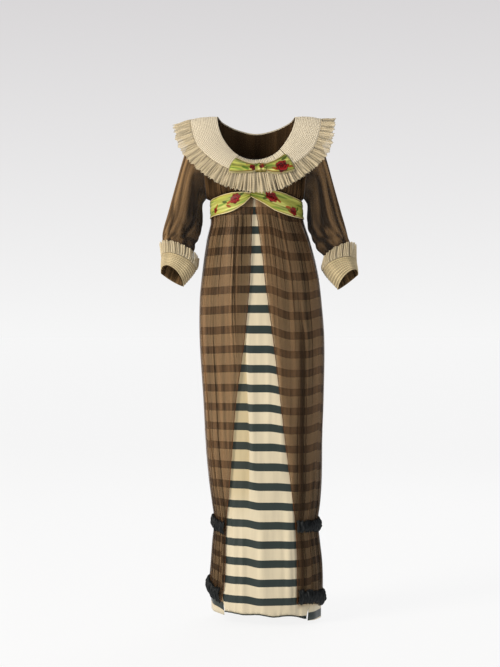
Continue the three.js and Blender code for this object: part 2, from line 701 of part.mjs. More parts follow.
function buildSleeve(name, wrist) {
  const rows = [...sleeveRings, ...wrist.sleeve.slice(0, -1)];
  const rings = rows.map((row) => armRing(row, wrist.side));
  rings[0].centre.x += wrist.side * seamGap;
  const end = armRing(wrist.cuff[0], wrist.side);
  const angles = range(sleeveFolds.columns).slice(0, -1).map((t) => t * 360);
  const folded = (ring, j, out) => angles.map((angle) => {
    const far = j / (rows.length - 1);
    const swell = sleeveFolds.height * Math.sin(Math.PI * far)
      * (0.5 + 0.5 * Math.cos(angle * radians * sleeveFolds.count + j));
    return ringPoint(ring, angle, out + (j > 0 ? swell : 0));
  });
  const hem = (out) => angles.map((angle) => ringPoint(end, angle, out));
  const fit = -cloth.linen - seamGap;
  const outer = [...rings.map((ring, j) => folded(ring, j, 0)), hem(fit)];
  const inner = [...rings.map((ring, j) => folded(ring, j, -cloth.chiffon)),
    hem(fit - cloth.chiffon)];
  addPiece(name, wallBetween(outer, inner, true), colours.chiffon, 0.8);
}

// A cuff's wall between two of its rings, split at the wrist's inner side.
function cuffWall(wrist, from, to, shares, columns, thickness, relief) {
  const [low, high] = [armRing(wrist.cuff[from], wrist.side), armRing(wrist.cuff[to], wrist.side)];
  const slit = cuff.slit / 2;
  const angles = range(columns).map((t) => mix(cuff.slitAt + slit, cuff.slitAt + 360 - slit, t));
  const wall = (inset) => shares.map((share) => angles.map((angle, i) => {
    const out = relief(i, share) - inset;
    return ringPoint(low, angle, out).lerp(ringPoint(high, angle, out), share);
  }));
  return wallBetween(wall(0), wall(thickness));
}

function buildCuff(name, wrist) {
  const edge = 0.008;
  addPiece(`cuff_linen_${name}`, cuffWall(wrist, 0, 1, [0, 0.5, 1 - edge], 24, cloth.linen,
    () => 0), colours.linen, 0.75);
  addPiece(`cuff_ruffle_${name}`, cuffWall(wrist, 1, 2, [edge, 0.5, 1],
    cuff.pleats * stepsPerPleat, cloth.ruffle,
    (i, share) => cuff.pleatHeight * mix(ruffle.atSeam, 1, share) * pleatWave(i)),
  colours.ruffle, 0.7);
}

// ---------------------------------------------------------------- belt and ruched bands

function buildBelt() {
  const across = [-1, 0, 1];
  for (const [name, rows] of Object.entries(beltRows)) {
    const column = (key) => (angle) => readTable(rows, 'angle', (row) => row[key], angle);
    const [middle, half] = [column('z'), column('half')];
    const first = rows[0].angle + (name === 'right' ? belt.backSeam : 0);
    const last = rows[rows.length - 1].angle - (name === 'left' ? belt.backSeam : 0);
    const wall = (out) => across.map((s) => range(belt.columns).map((t) => {
      const share = name === 'left' ? t ** belt.crowding : 1 - (1 - t) ** belt.crowding;
      const angle = mix(first, last, share);
      const z = middle(angle) + s * half(angle);
      return skirtPoint(angle, z, out + belt.crown * (1 - s * s));
    }));
    addPiece(`belt_${name}`, wallBetween(wall(belt.standOff + cloth.ribbon), wall(belt.standOff)),
      colours.ribbon, 0.4);
  }
}

// A ruched band on one half of the tunic, between two heights that follow the angle.
function ruchedBand(side, lowAt, highAt, band) {
  const columns = puffs.count * stepsPerPleat;
  const edgeName = side > 0 ? 'rightEdge' : 'leftEdge';
  const wall = (inset) => [0, 0.5, 1].map((share) => range(columns).map((t, i) => {
    const roughZ = lowAt(side * 45);
    const start = frontAngle(section(roughZ, edgeName), roughZ);
    const angle = mix(start, side * (180 - halfSeam), t);
    const z = mix(lowAt(angle), highAt(angle), share);
    const puff = puffs.height * (1 + pleatWave(i)) / 2;
    const swell = band.bulge * (1 - (2 * share - 1) ** 2) + puff;
    return tunicPoint(angle, z, band.standOff + swell - inset);
  }));
  return wallBetween(wall(0), wall(cloth.ruching));
}

function buildBands() {
  for (const [name, side] of [['left', 1], ['right', -1]]) {
    const middle = (angle) => upperBand.z
      - upperBand.leftDrop * Math.max(0, Math.sin(angle * radians));
    addPiece(`band_upper_${name}`, ruchedBand(side, (angle) => middle(angle) - upperBand.half,
      (angle) => middle(angle) + upperBand.half, upperBand), colours.ruching, 0.6);
    const hem = (angle) => tunicHemZ(angle) + hemBand.lift;
    addPiece(`band_hem_${name}`, ruchedBand(side, hem, (angle) => hem(angle) + hemBand.height,
      hemBand), colours.ruching, 0.6);
  }
}

// ---------------------------------------------------------------- the whole dress

buildTunic();
buildUnderskirt();
buildBodice();
for (const [name, wrist] of Object.entries(wrists)) {
  buildSleeve(`sleeve_${name}`, wrist);
  buildCuff(name, wrist);
}
buildCollar();
buildBow();
buildBelt();
buildBands();

export default dress;
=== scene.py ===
# %% [markdown]
# # An evening dress of chiffon, striped silk and linen
# The dress is worn by nobody here: it stands open as it would on the body. It has a striped silk
# underskirt, a sheer brown chiffon tunic that opens in an inverted V, a bloused bodice with kimono
# sleeves, a wide linen collar with a pleated ruffle, turned-back cuffs and a rose ribbon belt.
#
# The solids that came from the CAD model give each piece its place and size. Here each one is
# replaced by a finer sheet of cloth, worked out with numpy as a function of two parameters.
# Lengths in the tables are millimetres and angles are degrees round the body, 0 at the centre
# front and 90 at the wearer's left side. The meshes themselves are in metres.

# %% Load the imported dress
import bpy
import numpy as np
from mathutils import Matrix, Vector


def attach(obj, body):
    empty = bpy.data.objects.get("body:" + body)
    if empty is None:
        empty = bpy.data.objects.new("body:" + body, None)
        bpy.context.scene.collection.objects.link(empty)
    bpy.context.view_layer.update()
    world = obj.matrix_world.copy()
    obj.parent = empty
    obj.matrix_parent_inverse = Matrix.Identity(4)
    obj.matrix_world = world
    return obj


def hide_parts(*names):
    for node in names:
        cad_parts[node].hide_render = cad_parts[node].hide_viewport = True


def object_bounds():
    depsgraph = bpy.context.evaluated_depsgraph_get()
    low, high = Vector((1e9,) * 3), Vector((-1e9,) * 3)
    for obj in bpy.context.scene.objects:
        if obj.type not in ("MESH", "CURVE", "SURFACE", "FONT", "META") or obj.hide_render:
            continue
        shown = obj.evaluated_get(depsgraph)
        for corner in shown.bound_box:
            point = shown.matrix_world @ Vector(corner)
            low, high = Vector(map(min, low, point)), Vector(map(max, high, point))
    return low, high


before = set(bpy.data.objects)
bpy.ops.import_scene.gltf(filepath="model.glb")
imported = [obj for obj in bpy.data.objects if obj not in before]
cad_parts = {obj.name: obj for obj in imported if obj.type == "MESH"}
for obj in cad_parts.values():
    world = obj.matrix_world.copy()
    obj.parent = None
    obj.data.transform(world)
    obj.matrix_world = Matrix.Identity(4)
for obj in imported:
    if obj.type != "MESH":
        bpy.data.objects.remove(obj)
cad_box = [list(corner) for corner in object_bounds()]
MM = 0.001
print("CAD box in metres", cad_box)

# %% [markdown]
# ## Camera
# A whole dress is best seen from well back, where its near and far parts keep their proportion.
# The camera stands 4.5 m in front, 9 cm above the dress's middle, and looks level through a
# 90 mm lens. A shorter lens from nearer by would show as much but swell the front of the skirt.

# %% Camera
VIEW_DISTANCE = 4.5
VIEW_CENTRE = (-0.0135, -0.576)
LENS_MM = 90

camera = bpy.data.objects.new("camera", bpy.data.cameras.new("camera"))
camera.data.lens = LENS_MM
camera.data.sensor_width = 36
camera.location = (VIEW_CENTRE[0], -VIEW_DISTANCE, VIEW_CENTRE[1])
camera.rotation_euler = (np.pi / 2, 0, 0)
bpy.context.scene.collection.objects.link(camera)
bpy.context.scene.camera = camera
bpy.context.scene.view_settings.view_transform = "Standard"
print("camera at", tuple(camera.location))

# %% [markdown]
# ## Colours and shader nodes
# The look of a cloth is a small network of shader nodes. It could be wired by hand in the Shader
# editor. Three short helpers do it here, so that each node and its links can be read as text.
# A colour of the screen has to be turned into linear light first, which Blender counts in.

# %% Colours and nodes
def linear(hex_code):
    """A colour of the screen, as #RRGGBB, turned into the linear light that Blender counts in."""
    screen = np.array([int(hex_code[i:i + 2], 16) for i in (1, 3, 5)]) / 255
    light = np.where(screen <= 0.04045, screen / 12.92, ((screen + 0.055) / 1.055) ** 2.4)
    return (*light.tolist(), 1.0)


def add_node(tree, kind, settings=None, links=None):
    """One node: small letters set its options, other names or numbers set its sockets."""
    node = tree.nodes.new(kind)
    for key, value in (settings or {}).items():
        if isinstance(key, str) and key.islower():
            setattr(node, key, value)
        else:
            node.inputs[key].default_value = value
    for socket, source in (links or {}).items():
        tree.links.new(source, node.inputs[socket])
    return node


def new_material(name, finish):
    """A material with one Principled shader, whose plain values are in finish."""
    material = bpy.data.materials.new(name)
    material.use_nodes = True
    shader = material.node_tree.nodes["Principled BSDF"]
    for socket, value in finish.items():
        shader.inputs[socket].default_value = value
    return material, material.node_tree, shader


print("white is", linear("#FFFFFF"))

# %% [markdown]
# ## Paper floor
# A studio rolls out white paper under the dress and curves it up behind. Here the floor is flat
# and very wide, and it glows as brightly as the backdrop behind it. So no horizon shows, and the
# dress can be looked at from any side, which a curved paper wall would not allow.

# %% Paper floor
FLOOR_GLOW = 0.862
FLOOR_REACH = 300


def build_floor():
    """A flat square of studio paper, 600 m wide, 2 mm under the hem. It gives off light of its
    own as well, so that it keeps the brightness of the backdrop as far as the horizon."""
    low = cad_box[0][2] - 0.002
    turns = ((-1, -1), (1, -1), (1, 1), (-1, 1))
    corners = [(x * FLOOR_REACH, y * FLOOR_REACH, low) for x, y in turns]
    mesh = bpy.data.meshes.new("studio_floor")
    mesh.from_pydata(corners, [], [(0, 1, 2, 3)])
    floor = bpy.data.objects.new("studio_floor", mesh)
    bpy.context.scene.collection.objects.link(floor)
    paper, _, _ = new_material("white paper", {
        "Base Color": linear("#4A4A4A"), "Roughness": 0.95, "Emission Color": linear("#FFFFFF"),
        "Emission Strength": FLOOR_GLOW})
    mesh.materials.append(paper)
    return floor


paper_floor = build_floor()
print("the floor lies at", round(paper_floor.data.vertices[0].co.z, 4), "m")

# %% [markdown]
# ## Backdrop
# The wall behind the dress is near white at the horizon and a little greyer above. It could be a
# large plane with its own lamps. The world's own colour does the same from every side: a ramp
# over the direction's height gives the fade, and a second factor dims it behind the camera.

# %% Backdrop
def build_world():
    """A pale backdrop behind the dress: near white at the horizon, a little greyer where the view
    ends. It is dim overhead and half as bright behind the camera, so that the lamp at the left
    shapes the cloth."""
    world = bpy.data.worlds.new("studio")
    bpy.context.scene.world = world
    world.use_nodes = True
    tree = world.node_tree
    sky = tree.nodes["Background"]
    direction = add_node(tree, "ShaderNodeTexCoord")
    height = add_node(tree, "ShaderNodeSeparateXYZ", {}, {0: direction.outputs["Generated"]})
    ramp = add_node(tree, "ShaderNodeValToRGB", {}, {0: height.outputs["Z"]})
    stops = ramp.color_ramp.elements
    stops[0].position, stops[0].color = 0.0, linear("#F6F6F6")
    stops[1].position, stops[1].color = 0.6, linear("#9A9A9C")
    stops.new(0.19).color = linear("#DAD8D9")
    share = add_node(tree, "ShaderNodeMapRange", {
        "From Min": -0.35, "From Max": 0.25, "To Min": 0.42}, {"Value": height.outputs["Y"]})
    grey = add_node(tree, "ShaderNodeVectorMath", {"operation": "SCALE"},
                    {0: ramp.outputs["Color"], "Scale": share.outputs[0]})
    tree.links.new(grey.outputs[0], sky.inputs["Color"])
    sky.inputs["Strength"].default_value = 1.0


build_world()
print("backdrop", bpy.context.scene.world.name)

# %% [markdown]
# ## Lamps
# One large soft light stands at the front left, as a window would, and shapes the folds. A weak
# one opens the shadows at the right and a high one behind draws the edge of the sleeves. Area
# lamps were chosen because the width of each sets how soft its shadows are.

# %% Lamps
def area_light(name, location, aim, size, watts, colour="#FFFFFF"):
    """A square soft light at a location that faces aim."""
    data = bpy.data.lights.new(name, "AREA")
    data.size = size
    data.energy = watts
    data.color = linear(colour)[:3]
    lamp = bpy.data.objects.new(name, data)
    lamp.location = location
    away = np.array(location) - np.array(aim)
    lamp.rotation_mode = "QUATERNION"
    lamp.rotation_quaternion = Vector(away).to_track_quat("Z", "Y")
    bpy.context.scene.collection.objects.link(lamp)


area_light("window_left", (-3.4, -2.9, 1.2), (0, 0, -0.6), 1.8, 200, "#FFF8EE")
area_light("fill_right", (3.2, -3.2, 0.6), (0, 0, -0.6), 2.4, 16)
area_light("back_high", (1.2, 3.4, 2.2), (0, 0, -0.5), 2.4, 50)

# %% [markdown]
# ## Curves
# A dress is drafted from a few measurements joined by smooth curves. `read_table` is that curve,
# and `ridge` and `smooth` are the two shapes that every fold is made of. A pattern could be cut
# and simulated instead, but on a dress that hangs from one body the folds are easier to place
# one by one as soft ridges, and they come out the same each time.

# %% Curves
def mix(a, b, t):
    """The value a share t of the way from a to b."""
    return a + (b - a) * t


def smooth(low, high, value):
    """0 below low, 1 above high, and a soft S between them."""
    t = np.clip((value - low) / (high - low), 0, 1)
    return t * t * (3 - 2 * t)


def signed_power(value, power):
    """The size of the value raised to the power, with the value's own sign."""
    return np.sign(value) * np.abs(value) ** power


def ridge(value, middle, width):
    """A soft ridge of height 1: the bell curve of the distance from its middle."""
    return np.exp(-((value - middle) / width) ** 2)


def read_table(keys, values, at):
    """A cubic piece between each two rows, whose slopes are averages of the rows' own slopes."""
    keys, values = np.asarray(keys, float), np.asarray(values, float)
    if keys[0] > keys[-1]:
        keys, values = keys[::-1], values[::-1]
    rows = np.arange(len(keys))
    before, after = np.maximum(rows - 1, 0), np.minimum(rows + 1, len(keys) - 1)
    slope = (values[after] - values[before]) / (keys[after] - keys[before])
    i = np.clip(np.searchsorted(keys, at, side="right") - 1, 0, len(keys) - 2)
    width = keys[i + 1] - keys[i]
    t = np.clip((at - keys[i]) / width, 0, 1)
    return ((2 * t**3 - 3 * t**2 + 1) * values[i] + (t**3 - 2 * t**2 + t) * slope[i] * width
            + (3 * t**2 - 2 * t**3) * values[i + 1] + (t**3 - t**2) * slope[i + 1] * width)


def unit(vectors):
    """Each vector divided by its own length."""
    return vectors / np.maximum(np.linalg.norm(vectors, axis=-1, keepdims=True), 1e-9)


print("half-way on the curve through 0, 1, 4:", read_table([0, 1, 2], [0, 1, 4], 0.5))

# %% [markdown]
# ## A sheet of cloth
# Fabric is half a millimetre thick, so a bare surface would look like paper with no edge. `cloth`
# takes a grid of points as the outer face, and a Solidify modifier adds the inner one. Each point
# also gets its place on the flat cloth as a UV, so that stripes and threads follow the folds.

# %% Sheets of cloth
def quads(corner):
    """The four corner numbers of each cell of a grid of numbers, or of several such grids."""
    cells = [corner[..., :-1, :-1], corner[..., :-1, 1:], corner[..., 1:, 1:], corner[..., 1:, :-1]]
    return np.stack(cells, -1).reshape(-1, 4)


def facing_out(points, faces, outward):
    """True where most faces already look the way that outward points."""
    flat = points.reshape(-1, 3)
    a, b, c, d = [flat[faces[:, k]] for k in range(4)]
    look = np.cross(c - a, d - b)
    away = outward.reshape(-1, 3)[faces[:, 0]]
    return (look * away).sum() > 0


def cloth(name, points, outward, uv, material, thickness=0.6, closed=False, paint=None):
    """A sheet from a grid of points in mm. Its outer face is the grid; Solidify adds the inner.
    outward holds a direction for each point, uv the place on the flat cloth in metres. Several
    grids of one size may be stacked into one piece."""
    points = np.asarray(points, float)
    corner = np.arange(points[..., 0].size).reshape(points.shape[:-1])
    uv_corner = np.arange(uv[..., 0].size).reshape(uv.shape[:-1])
    if closed:
        corner = np.hstack([corner, corner[:, :1]])
    faces, uv_faces = quads(corner), quads(uv_corner)
    if not facing_out(points, faces, np.broadcast_to(outward, points.shape)):
        faces, uv_faces = faces[:, ::-1], uv_faces[:, ::-1]
    mesh = bpy.data.meshes.new(name)
    mesh.from_pydata((points * MM).reshape(-1, 3).tolist(), [], faces.tolist())
    layer = mesh.uv_layers.new(name="Cloth")
    layer.data.foreach_set("uv", uv.reshape(-1, 2)[uv_faces.reshape(-1)].ravel())
    if paint is not None:
        # the attribute holds each piece's print or its painted light and shade
        colour = mesh.attributes.new("PrintAndShade", "FLOAT_COLOR", "POINT")
        colour.data.foreach_set("color", paint.reshape(-1, 4).ravel())
    mesh.polygons.foreach_set("use_smooth", np.ones(len(faces), bool))
    mesh.materials.append(material)
    piece = bpy.data.objects.new(name, mesh)
    bpy.context.scene.collection.objects.link(piece)
    wall = piece.modifiers.new("thickness", "SOLIDIFY")
    wall.thickness = thickness * MM
    wall.offset = -1
    wall.use_quality_normals = True
    return piece


print("a grid of 3 by 2 has", quads(np.arange(6).reshape(2, 3)).shape[0], "cells")

# %% [markdown]
# ## Cords, grids and placing
# Rolled edges and corded seams are thin round cords. A curve with a bevel would do, but a mesh
# ring at each point of the path can change its radius and keeps its UV. `place` ties each piece
# to the dress's one body and names the solids that it stands for.

# %% Cords and placing
def tube(name, path, radius, material, sides=8):
    """A round cord along a path of points in mm: a circle in the plane across the path at each
    point, its radius times the cosine and the sine along two directions square to the path."""
    path = np.asarray(path, float)
    along = unit(np.gradient(path, axis=0))
    guide = np.where(np.abs(along[:, 2:3]) > 0.9, [1.0, 0, 0], [0, 0, 1.0])
    first = unit(np.cross(along, guide))
    second = np.cross(along, first)
    turn = np.linspace(0, 2 * np.pi, sides, endpoint=False)[None, :, None]
    radius = np.broadcast_to(np.asarray(radius, float), (len(path),))[:, None, None]
    ring = first[:, None] * np.cos(turn) + second[:, None] * np.sin(turn)
    points = path[:, None] + ring * radius
    length = np.r_[0, np.cumsum(np.linalg.norm(np.diff(path, axis=0), axis=1))]
    uv = np.stack(np.meshgrid(np.linspace(0, 1, sides + 1) * 2 * np.pi * radius.mean(), length), -1)
    corner = np.arange(len(path) * sides).reshape(len(path), sides)
    corner = np.hstack([corner, corner[:, :1]])
    faces = quads(corner)
    if not facing_out(points, faces, ring):
        faces = faces[:, ::-1]
    mesh = bpy.data.meshes.new(name)
    ends = [list(range(sides))[::-1], [len(path) * sides - sides + k for k in range(sides)]]
    mesh.from_pydata((points * MM).reshape(-1, 3).tolist(), [], faces.tolist() + ends)
    layer = mesh.uv_layers.new(name="Cloth")
    uv_faces = quads(np.arange(uv.shape[0] * uv.shape[1]).reshape(uv.shape[:2]))
    loops = uv.reshape(-1, 2)[uv_faces.reshape(-1)].ravel() * MM
    layer.data.foreach_set("uv", np.r_[loops, np.zeros(2 * 2 * sides)])
    mesh.polygons.foreach_set("use_smooth", np.ones(len(mesh.polygons), bool))
    mesh.materials.append(material)
    piece = bpy.data.objects.new(name, mesh)
    bpy.context.scene.collection.objects.link(piece)
    return piece


def place(piece, slot, *nodes):
    """Ties a piece to the dress: it moves with the one body and stands for the named solids."""
    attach(piece, "root")
    for node in nodes:
        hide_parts(node)
    return piece


def grid(columns, rows):
    """Two arrays that run from 0 to 1 across the columns and down the rows."""
    return np.meshgrid(np.linspace(0, 1, columns), np.linspace(0, 1, rows))


SIDES = {"left": 1, "right": -1}
print("the two sides of the wearer", SIDES)

# %% [markdown]
# ## Threads and folds
# Every cloth here has threads that show as streaks, and is darker where little light gets into
# its folds. A picture wrapped on could give both. Noise stretched along the threads, and a grey
# that a formula paints on the mesh, need no picture and fit every piece.

# %% Threads and folds
def lengthwise_streaks(tree, width, length, detail=3.0):
    """Noise in the cloth's own UV, as wide as width and as long as length in metres."""
    place_on_cloth = add_node(tree, "ShaderNodeUVMap", {"uv_map": "Cloth"})
    stretched = add_node(tree, "ShaderNodeMapping", {"Scale": (1 / width, 1 / length, 1)},
                         {"Vector": place_on_cloth.outputs[0]})
    return add_node(tree, "ShaderNodeTexNoise", {"Scale": 1.0, "Detail": detail},
                    {"Vector": stretched.outputs[0]})


def times_print_and_shade(tree, colour):
    """The colour multiplied by the piece's own attribute, which holds its print and painted shade."""
    folds = add_node(tree, "ShaderNodeVertexColor", {"layer_name": "PrintAndShade"})
    return add_node(tree, "ShaderNodeMix", {"data_type": "RGBA", "blend_type": "MULTIPLY", 0: 1.0},
                    {6: colour, 7: folds.outputs["Color"]}).outputs[2]


def grey_paint(grey):
    """A grid of greys, mostly painted shade of folds, as colours for the attribute of print and shade.
    """
    return np.stack([grey, grey, grey, np.ones_like(grey)], -1)


print("a middle grey as paint", grey_paint(np.array(0.5)))

# %% [markdown]
# ## Chiffon
# Silk chiffon is a sheer cloth of hard-twisted threads. One layer lets the stripes below show
# through as darker bands. It is dull, and its threads and the gathers above give it fine streaks
# down its length. The real threads are 0.1 mm apart, too fine to show, so the streaks are drawn
# 3 to 24 mm apart. It could scatter light like a real gauze, which is slow; plain transparency
# looks the same from here. Each of a sheet's two faces lets through the root of the whole.

# %% Chiffon
def chiffon_material(name, light, dark, clear, shaded=False, grain=1.0):
    """Brown silk chiffon; clear is the share of light that one whole layer lets through. Three
    widths of streak are added, with grain times as much contrast. shaded multiplies the colour
    by the piece's own attribute: painted light and shade of its folds, and darker doubled cloth."""
    material, tree, shader = new_material(name, {
        "Roughness": 0.9, "Alpha": 1 - clear**0.5, "Specular IOR Level": 0.03})
    # the darker streaks stand both for the crinkled threads and for painted shade in fine gathers
    total = None
    for width, length, weight in ((0.024, 0.9, 0.45), (0.008, 0.45, 0.33), (0.0032, 0.3, 0.22)):
        streaks = lengthwise_streaks(tree, width, length, 2.0)
        sockets = {0: streaks.outputs["Fac"]}
        if total is not None:
            sockets[2] = total
        total = add_node(tree, "ShaderNodeMath", {"operation": "MULTIPLY_ADD", 1: weight, 2: 0.0},
                         sockets).outputs[0]
    spread = add_node(tree, "ShaderNodeMapRange", {
        "From Min": 0.505 - 0.095 / grain, "From Max": 0.505 + 0.095 / grain}, {"Value": total})
    colour = add_node(tree, "ShaderNodeMix", {"data_type": "RGBA", 6: linear(dark), 7: linear(light)},
                      {0: spread.outputs[0]}).outputs[2]
    if shaded:
        colour = times_print_and_shade(tree, colour)
    tree.links.new(colour, shader.inputs["Base Color"])
    bump = add_node(tree, "ShaderNodeBump", {"Strength": 0.7 * grain, "Distance": 0.003},
                    {"Height": total})
    tree.links.new(bump.outputs[0], shader.inputs["Normal"])
    return material


chiffon = chiffon_material("brown silk chiffon", "#94704E", "#4A3624", 0.40, shaded=True)
# a darker copy of the chiffon for the folded pleats: painted shade, over a real extra layer
shaded_folded_chiffon = chiffon_material("brown silk chiffon, folded", "#4E3B29", "#261B11", 0.34)
sleeve_chiffon = chiffon_material("brown silk chiffon on the arm", "#9C7B54", "#4C3926", 0.10,
                                  shaded=True, grain=0.5)
lined_chiffon = chiffon_material("brown silk chiffon, lined", "#74583A", "#241910", 0.02,
                                 shaded=True, grain=0.6)
print("chiffon alpha of one face", round(1 - 0.40**0.5, 3))

# %% [markdown]
# ## Striped silk
# The underskirt is a soft ivory silk satin with dark green stripes woven across it, one every
# 51.6 mm, of which the green takes 21.4 mm. They could be cut as strips of their own, but woven
# stripes belong to the cloth and bend with it. So the shader reads them from the UV: V is the
# height that the point had on the flat cloth.

# %% Striped silk
STRIPE = {"period": 51.6, "green": 21.4, "top": -291.4}


def cloth_axes(tree):
    """The node that splits a place on the flat cloth, in metres, into X across and Y up."""
    on_cloth = add_node(tree, "ShaderNodeUVMap", {"uv_map": "Cloth"})
    return add_node(tree, "ShaderNodeSeparateXYZ", {}, {0: on_cloth.outputs[0]})


def uneven_colour(tree, colour, noise, low, high):
    """The colour multiplied by low to high, as the noise goes from 0.3 to 0.7."""
    span = {"From Min": 0.3, "From Max": 0.7, "To Min": low, "To Max": high}
    shade = add_node(tree, "ShaderNodeMapRange", span, {"Value": noise.outputs["Fac"]})
    return add_node(tree, "ShaderNodeVectorMath", {"operation": "SCALE"},
                    {0: colour, "Scale": shade.outputs[0]}).outputs[0]


def striped_silk_material():
    """Ivory silk satin with woven green stripes, a slight sheen and fine cross threads."""
    material, tree, shader = new_material("striped silk satin", {
        "Roughness": 0.5, "Sheen Weight": 0.15, "Specular IOR Level": 0.4})
    # 40 whole stripes are added so that the count is positive all the way down
    count = add_node(tree, "ShaderNodeMath", {
        "operation": "MULTIPLY_ADD", 1: -1 / (STRIPE["period"] * MM),
        2: STRIPE["top"] / STRIPE["period"] + 40}, {0: cloth_axes(tree).outputs["Y"]})
    share = add_node(tree, "ShaderNodeMath", {"operation": "FRACT"}, {0: count.outputs[0]})
    ramp = add_node(tree, "ShaderNodeValToRGB", {}, {0: share.outputs[0]})
    stops = ramp.color_ramp.elements
    edge = 0.012
    green = STRIPE["green"] / STRIPE["period"]
    ivory, dark = linear("#D8CBAD"), linear("#1D2B27")
    stops[0].position, stops[0].color = 0.0, ivory
    stops[1].position, stops[1].color = edge, dark
    for position, colour in ((green - edge, dark), (green, ivory)):
        stops.new(position).color = colour
    # lengthwise clouds a little lighter and darker: painted shade of soft folds and a painted satin
    # sheen
    clouds = lengthwise_streaks(tree, 0.022, 0.3)
    tone = uneven_colour(tree, ramp.outputs["Color"], clouds, 0.86, 1.06)
    tree.links.new(times_print_and_shade(tree, tone), shader.inputs["Base Color"])
    threads = lengthwise_streaks(tree, 0.03, 0.0022, 2.0)
    bump = add_node(tree, "ShaderNodeBump", {"Strength": 0.18, "Distance": 0.0006},
                    {"Height": threads.outputs["Fac"]})
    tree.links.new(bump.outputs[0], shader.inputs["Normal"])
    return material


striped_silk = striped_silk_material()
print("the green takes", round(STRIPE["green"] / STRIPE["period"], 3), "of each stripe")

# %% [markdown]
# ## Linen
# The collar and cuff bands are a light open linen with a small woven check; the ruffles are the
# same cloth, finer, unbleached and pressed into narrow pleats, so they let some light through.
# The weave could be modelled thread by thread, but at this distance a few lines say enough.

# %% Linen
def linen_material(name, base, line, check, depth, clear=0.0, shaded=False, contrast=1.0):
    """Woven linen: two sets of crossing lines, check metres apart, over a fine grain. contrast
    says how clearly they show, depth how much they stand out, and clear lets light through."""
    material, tree, shader = new_material(name, {
        "Roughness": 0.8, "Alpha": 1 - clear**0.5 if clear else 1.0, "Sheen Weight": 0.2,
        "Specular IOR Level": 0.3})
    parts = cloth_axes(tree)
    waves = []
    for axis in "XY":
        turn = add_node(tree, "ShaderNodeMath", {"operation": "MULTIPLY", 1: 2 * np.pi / check},
                        {0: parts.outputs[axis]})
        waves.append(add_node(tree, "ShaderNodeMath", {"operation": "COSINE"}, {0: turn.outputs[0]}))
    top = add_node(tree, "ShaderNodeMath", {"operation": "MAXIMUM"},
                   {0: waves[0].outputs[0], 1: waves[1].outputs[0]})
    lines = add_node(tree, "ShaderNodeMapRange", {"From Min": 0.3, "From Max": 1.0, "To Max": contrast},
                     {"Value": top.outputs[0]})
    grain = lengthwise_streaks(tree, 0.004, 0.004)
    uneven = add_node(tree, "ShaderNodeMath", {"operation": "MULTIPLY"},
                      {0: lines.outputs[0], 1: grain.outputs["Fac"]})
    colour = add_node(tree, "ShaderNodeMix", {"data_type": "RGBA", 6: linear(base), 7: linear(line)},
                      {0: uneven.outputs[0]}).outputs[2]
    tree.links.new(times_print_and_shade(tree, colour) if shaded else colour, shader.inputs["Base Color"])
    height = add_node(tree, "ShaderNodeMath", {"operation": "ADD"},
                      {0: lines.outputs[0], 1: grain.outputs["Fac"]})
    bump = add_node(tree, "ShaderNodeBump", {"Strength": depth, "Distance": 0.0008},
                    {"Height": height.outputs[0]})
    tree.links.new(bump.outputs[0], shader.inputs["Normal"])
    return material


linen = linen_material("checked linen", "#F8ECD2", "#A18A5C", 0.0050, 0.9, contrast=1.25)
tucked_linen = linen_material("tucked linen", "#F4E8CC", "#A18A5C", 0.0050, 0.4, shaded=True,
                              contrast=0.4)
# the cuff bands are the collar's linen painted darker: painted shade
shaded_ribbed_linen = linen_material("ribbed linen", "#D8C59B", "#8F784A", 0.0050, 0.6, shaded=True)
ruffle_linen = linen_material("unbleached linen lawn", "#F4E4C0", "#B09768", 0.0042, 0.6, 0.16,
                              shaded=True)
print("linens", linen.name, "and", ruffle_linen.name)

# %% [markdown]
# ## Ribbon and ruched silk
# The belt and the bow are a lime-green silk ribbon with woven roses, leaves and a striped border.
# An image texture could carry the flowers. They are painted into each piece's mesh as an
# attribute instead, so that each can be laid out one by one, and the shader adds the ribs of the
# weave. The bands round the hem are black-green silk, gathered on both edges.

# %% Ribbon and ruched silk
def ribbon_material():
    """Silk ribbon: its print with painted shade in the creases, cross ribs 1.6 mm apart, a soft gloss.
    """
    material, tree, shader = new_material("woven silk ribbon", {
        "Roughness": 0.5, "Specular IOR Level": 0.25})
    flowers_and_shade = add_node(tree, "ShaderNodeVertexColor", {"layer_name": "PrintAndShade"})
    streaks = lengthwise_streaks(tree, 0.03, 0.0025)
    tone = uneven_colour(tree, flowers_and_shade.outputs["Color"], streaks, 0.72, 1.1)
    tree.links.new(tone, shader.inputs["Base Color"])
    ribs = lengthwise_streaks(tree, 0.0016, 0.02, 1.0)
    bump = add_node(tree, "ShaderNodeBump", {"Strength": 0.3, "Distance": 0.0005},
                    {"Height": ribs.outputs["Fac"]})
    tree.links.new(bump.outputs[0], shader.inputs["Normal"])
    return material


def ruched_material():
    """Black-green silk: dark, with a gloss on the crests of its crinkles."""
    material, tree, shader = new_material("gathered black silk", {
        "Roughness": 0.55, "Sheen Weight": 0.05, "Specular IOR Level": 0.3})
    crinkle = lengthwise_streaks(tree, 0.005, 0.012)
    # the colour is lighter where the crinkles rise: a painted sheen on their crests, beside the
    # shader's own gloss
    colour = add_node(tree, "ShaderNodeMix", {"data_type": "RGBA", 6: linear("#050708"),
                                              7: linear("#141A1C")}, {0: crinkle.outputs["Fac"]})
    tree.links.new(colour.outputs[2], shader.inputs["Base Color"])
    bump = add_node(tree, "ShaderNodeBump", {"Strength": 0.7, "Distance": 0.002},
                    {"Height": crinkle.outputs["Fac"]})
    tree.links.new(bump.outputs[0], shader.inputs["Normal"])
    return material


ribbon = ribbon_material()
ruched = ruched_material()
print("materials so far", len(bpy.data.materials))

# %% [markdown]
# ## The body's sections
# The skirt is drafted as a stack of rounded sections: how wide, how deep in front and behind,
# and how far its centre leans to one side. It could be sculpted, but a formula lets silk,
# chiffon, belt and bands all lie on one another with known gaps. A section is a superellipse, a
# little squarer than an ellipse, so x and y are powers of the sine and cosine of the angle.

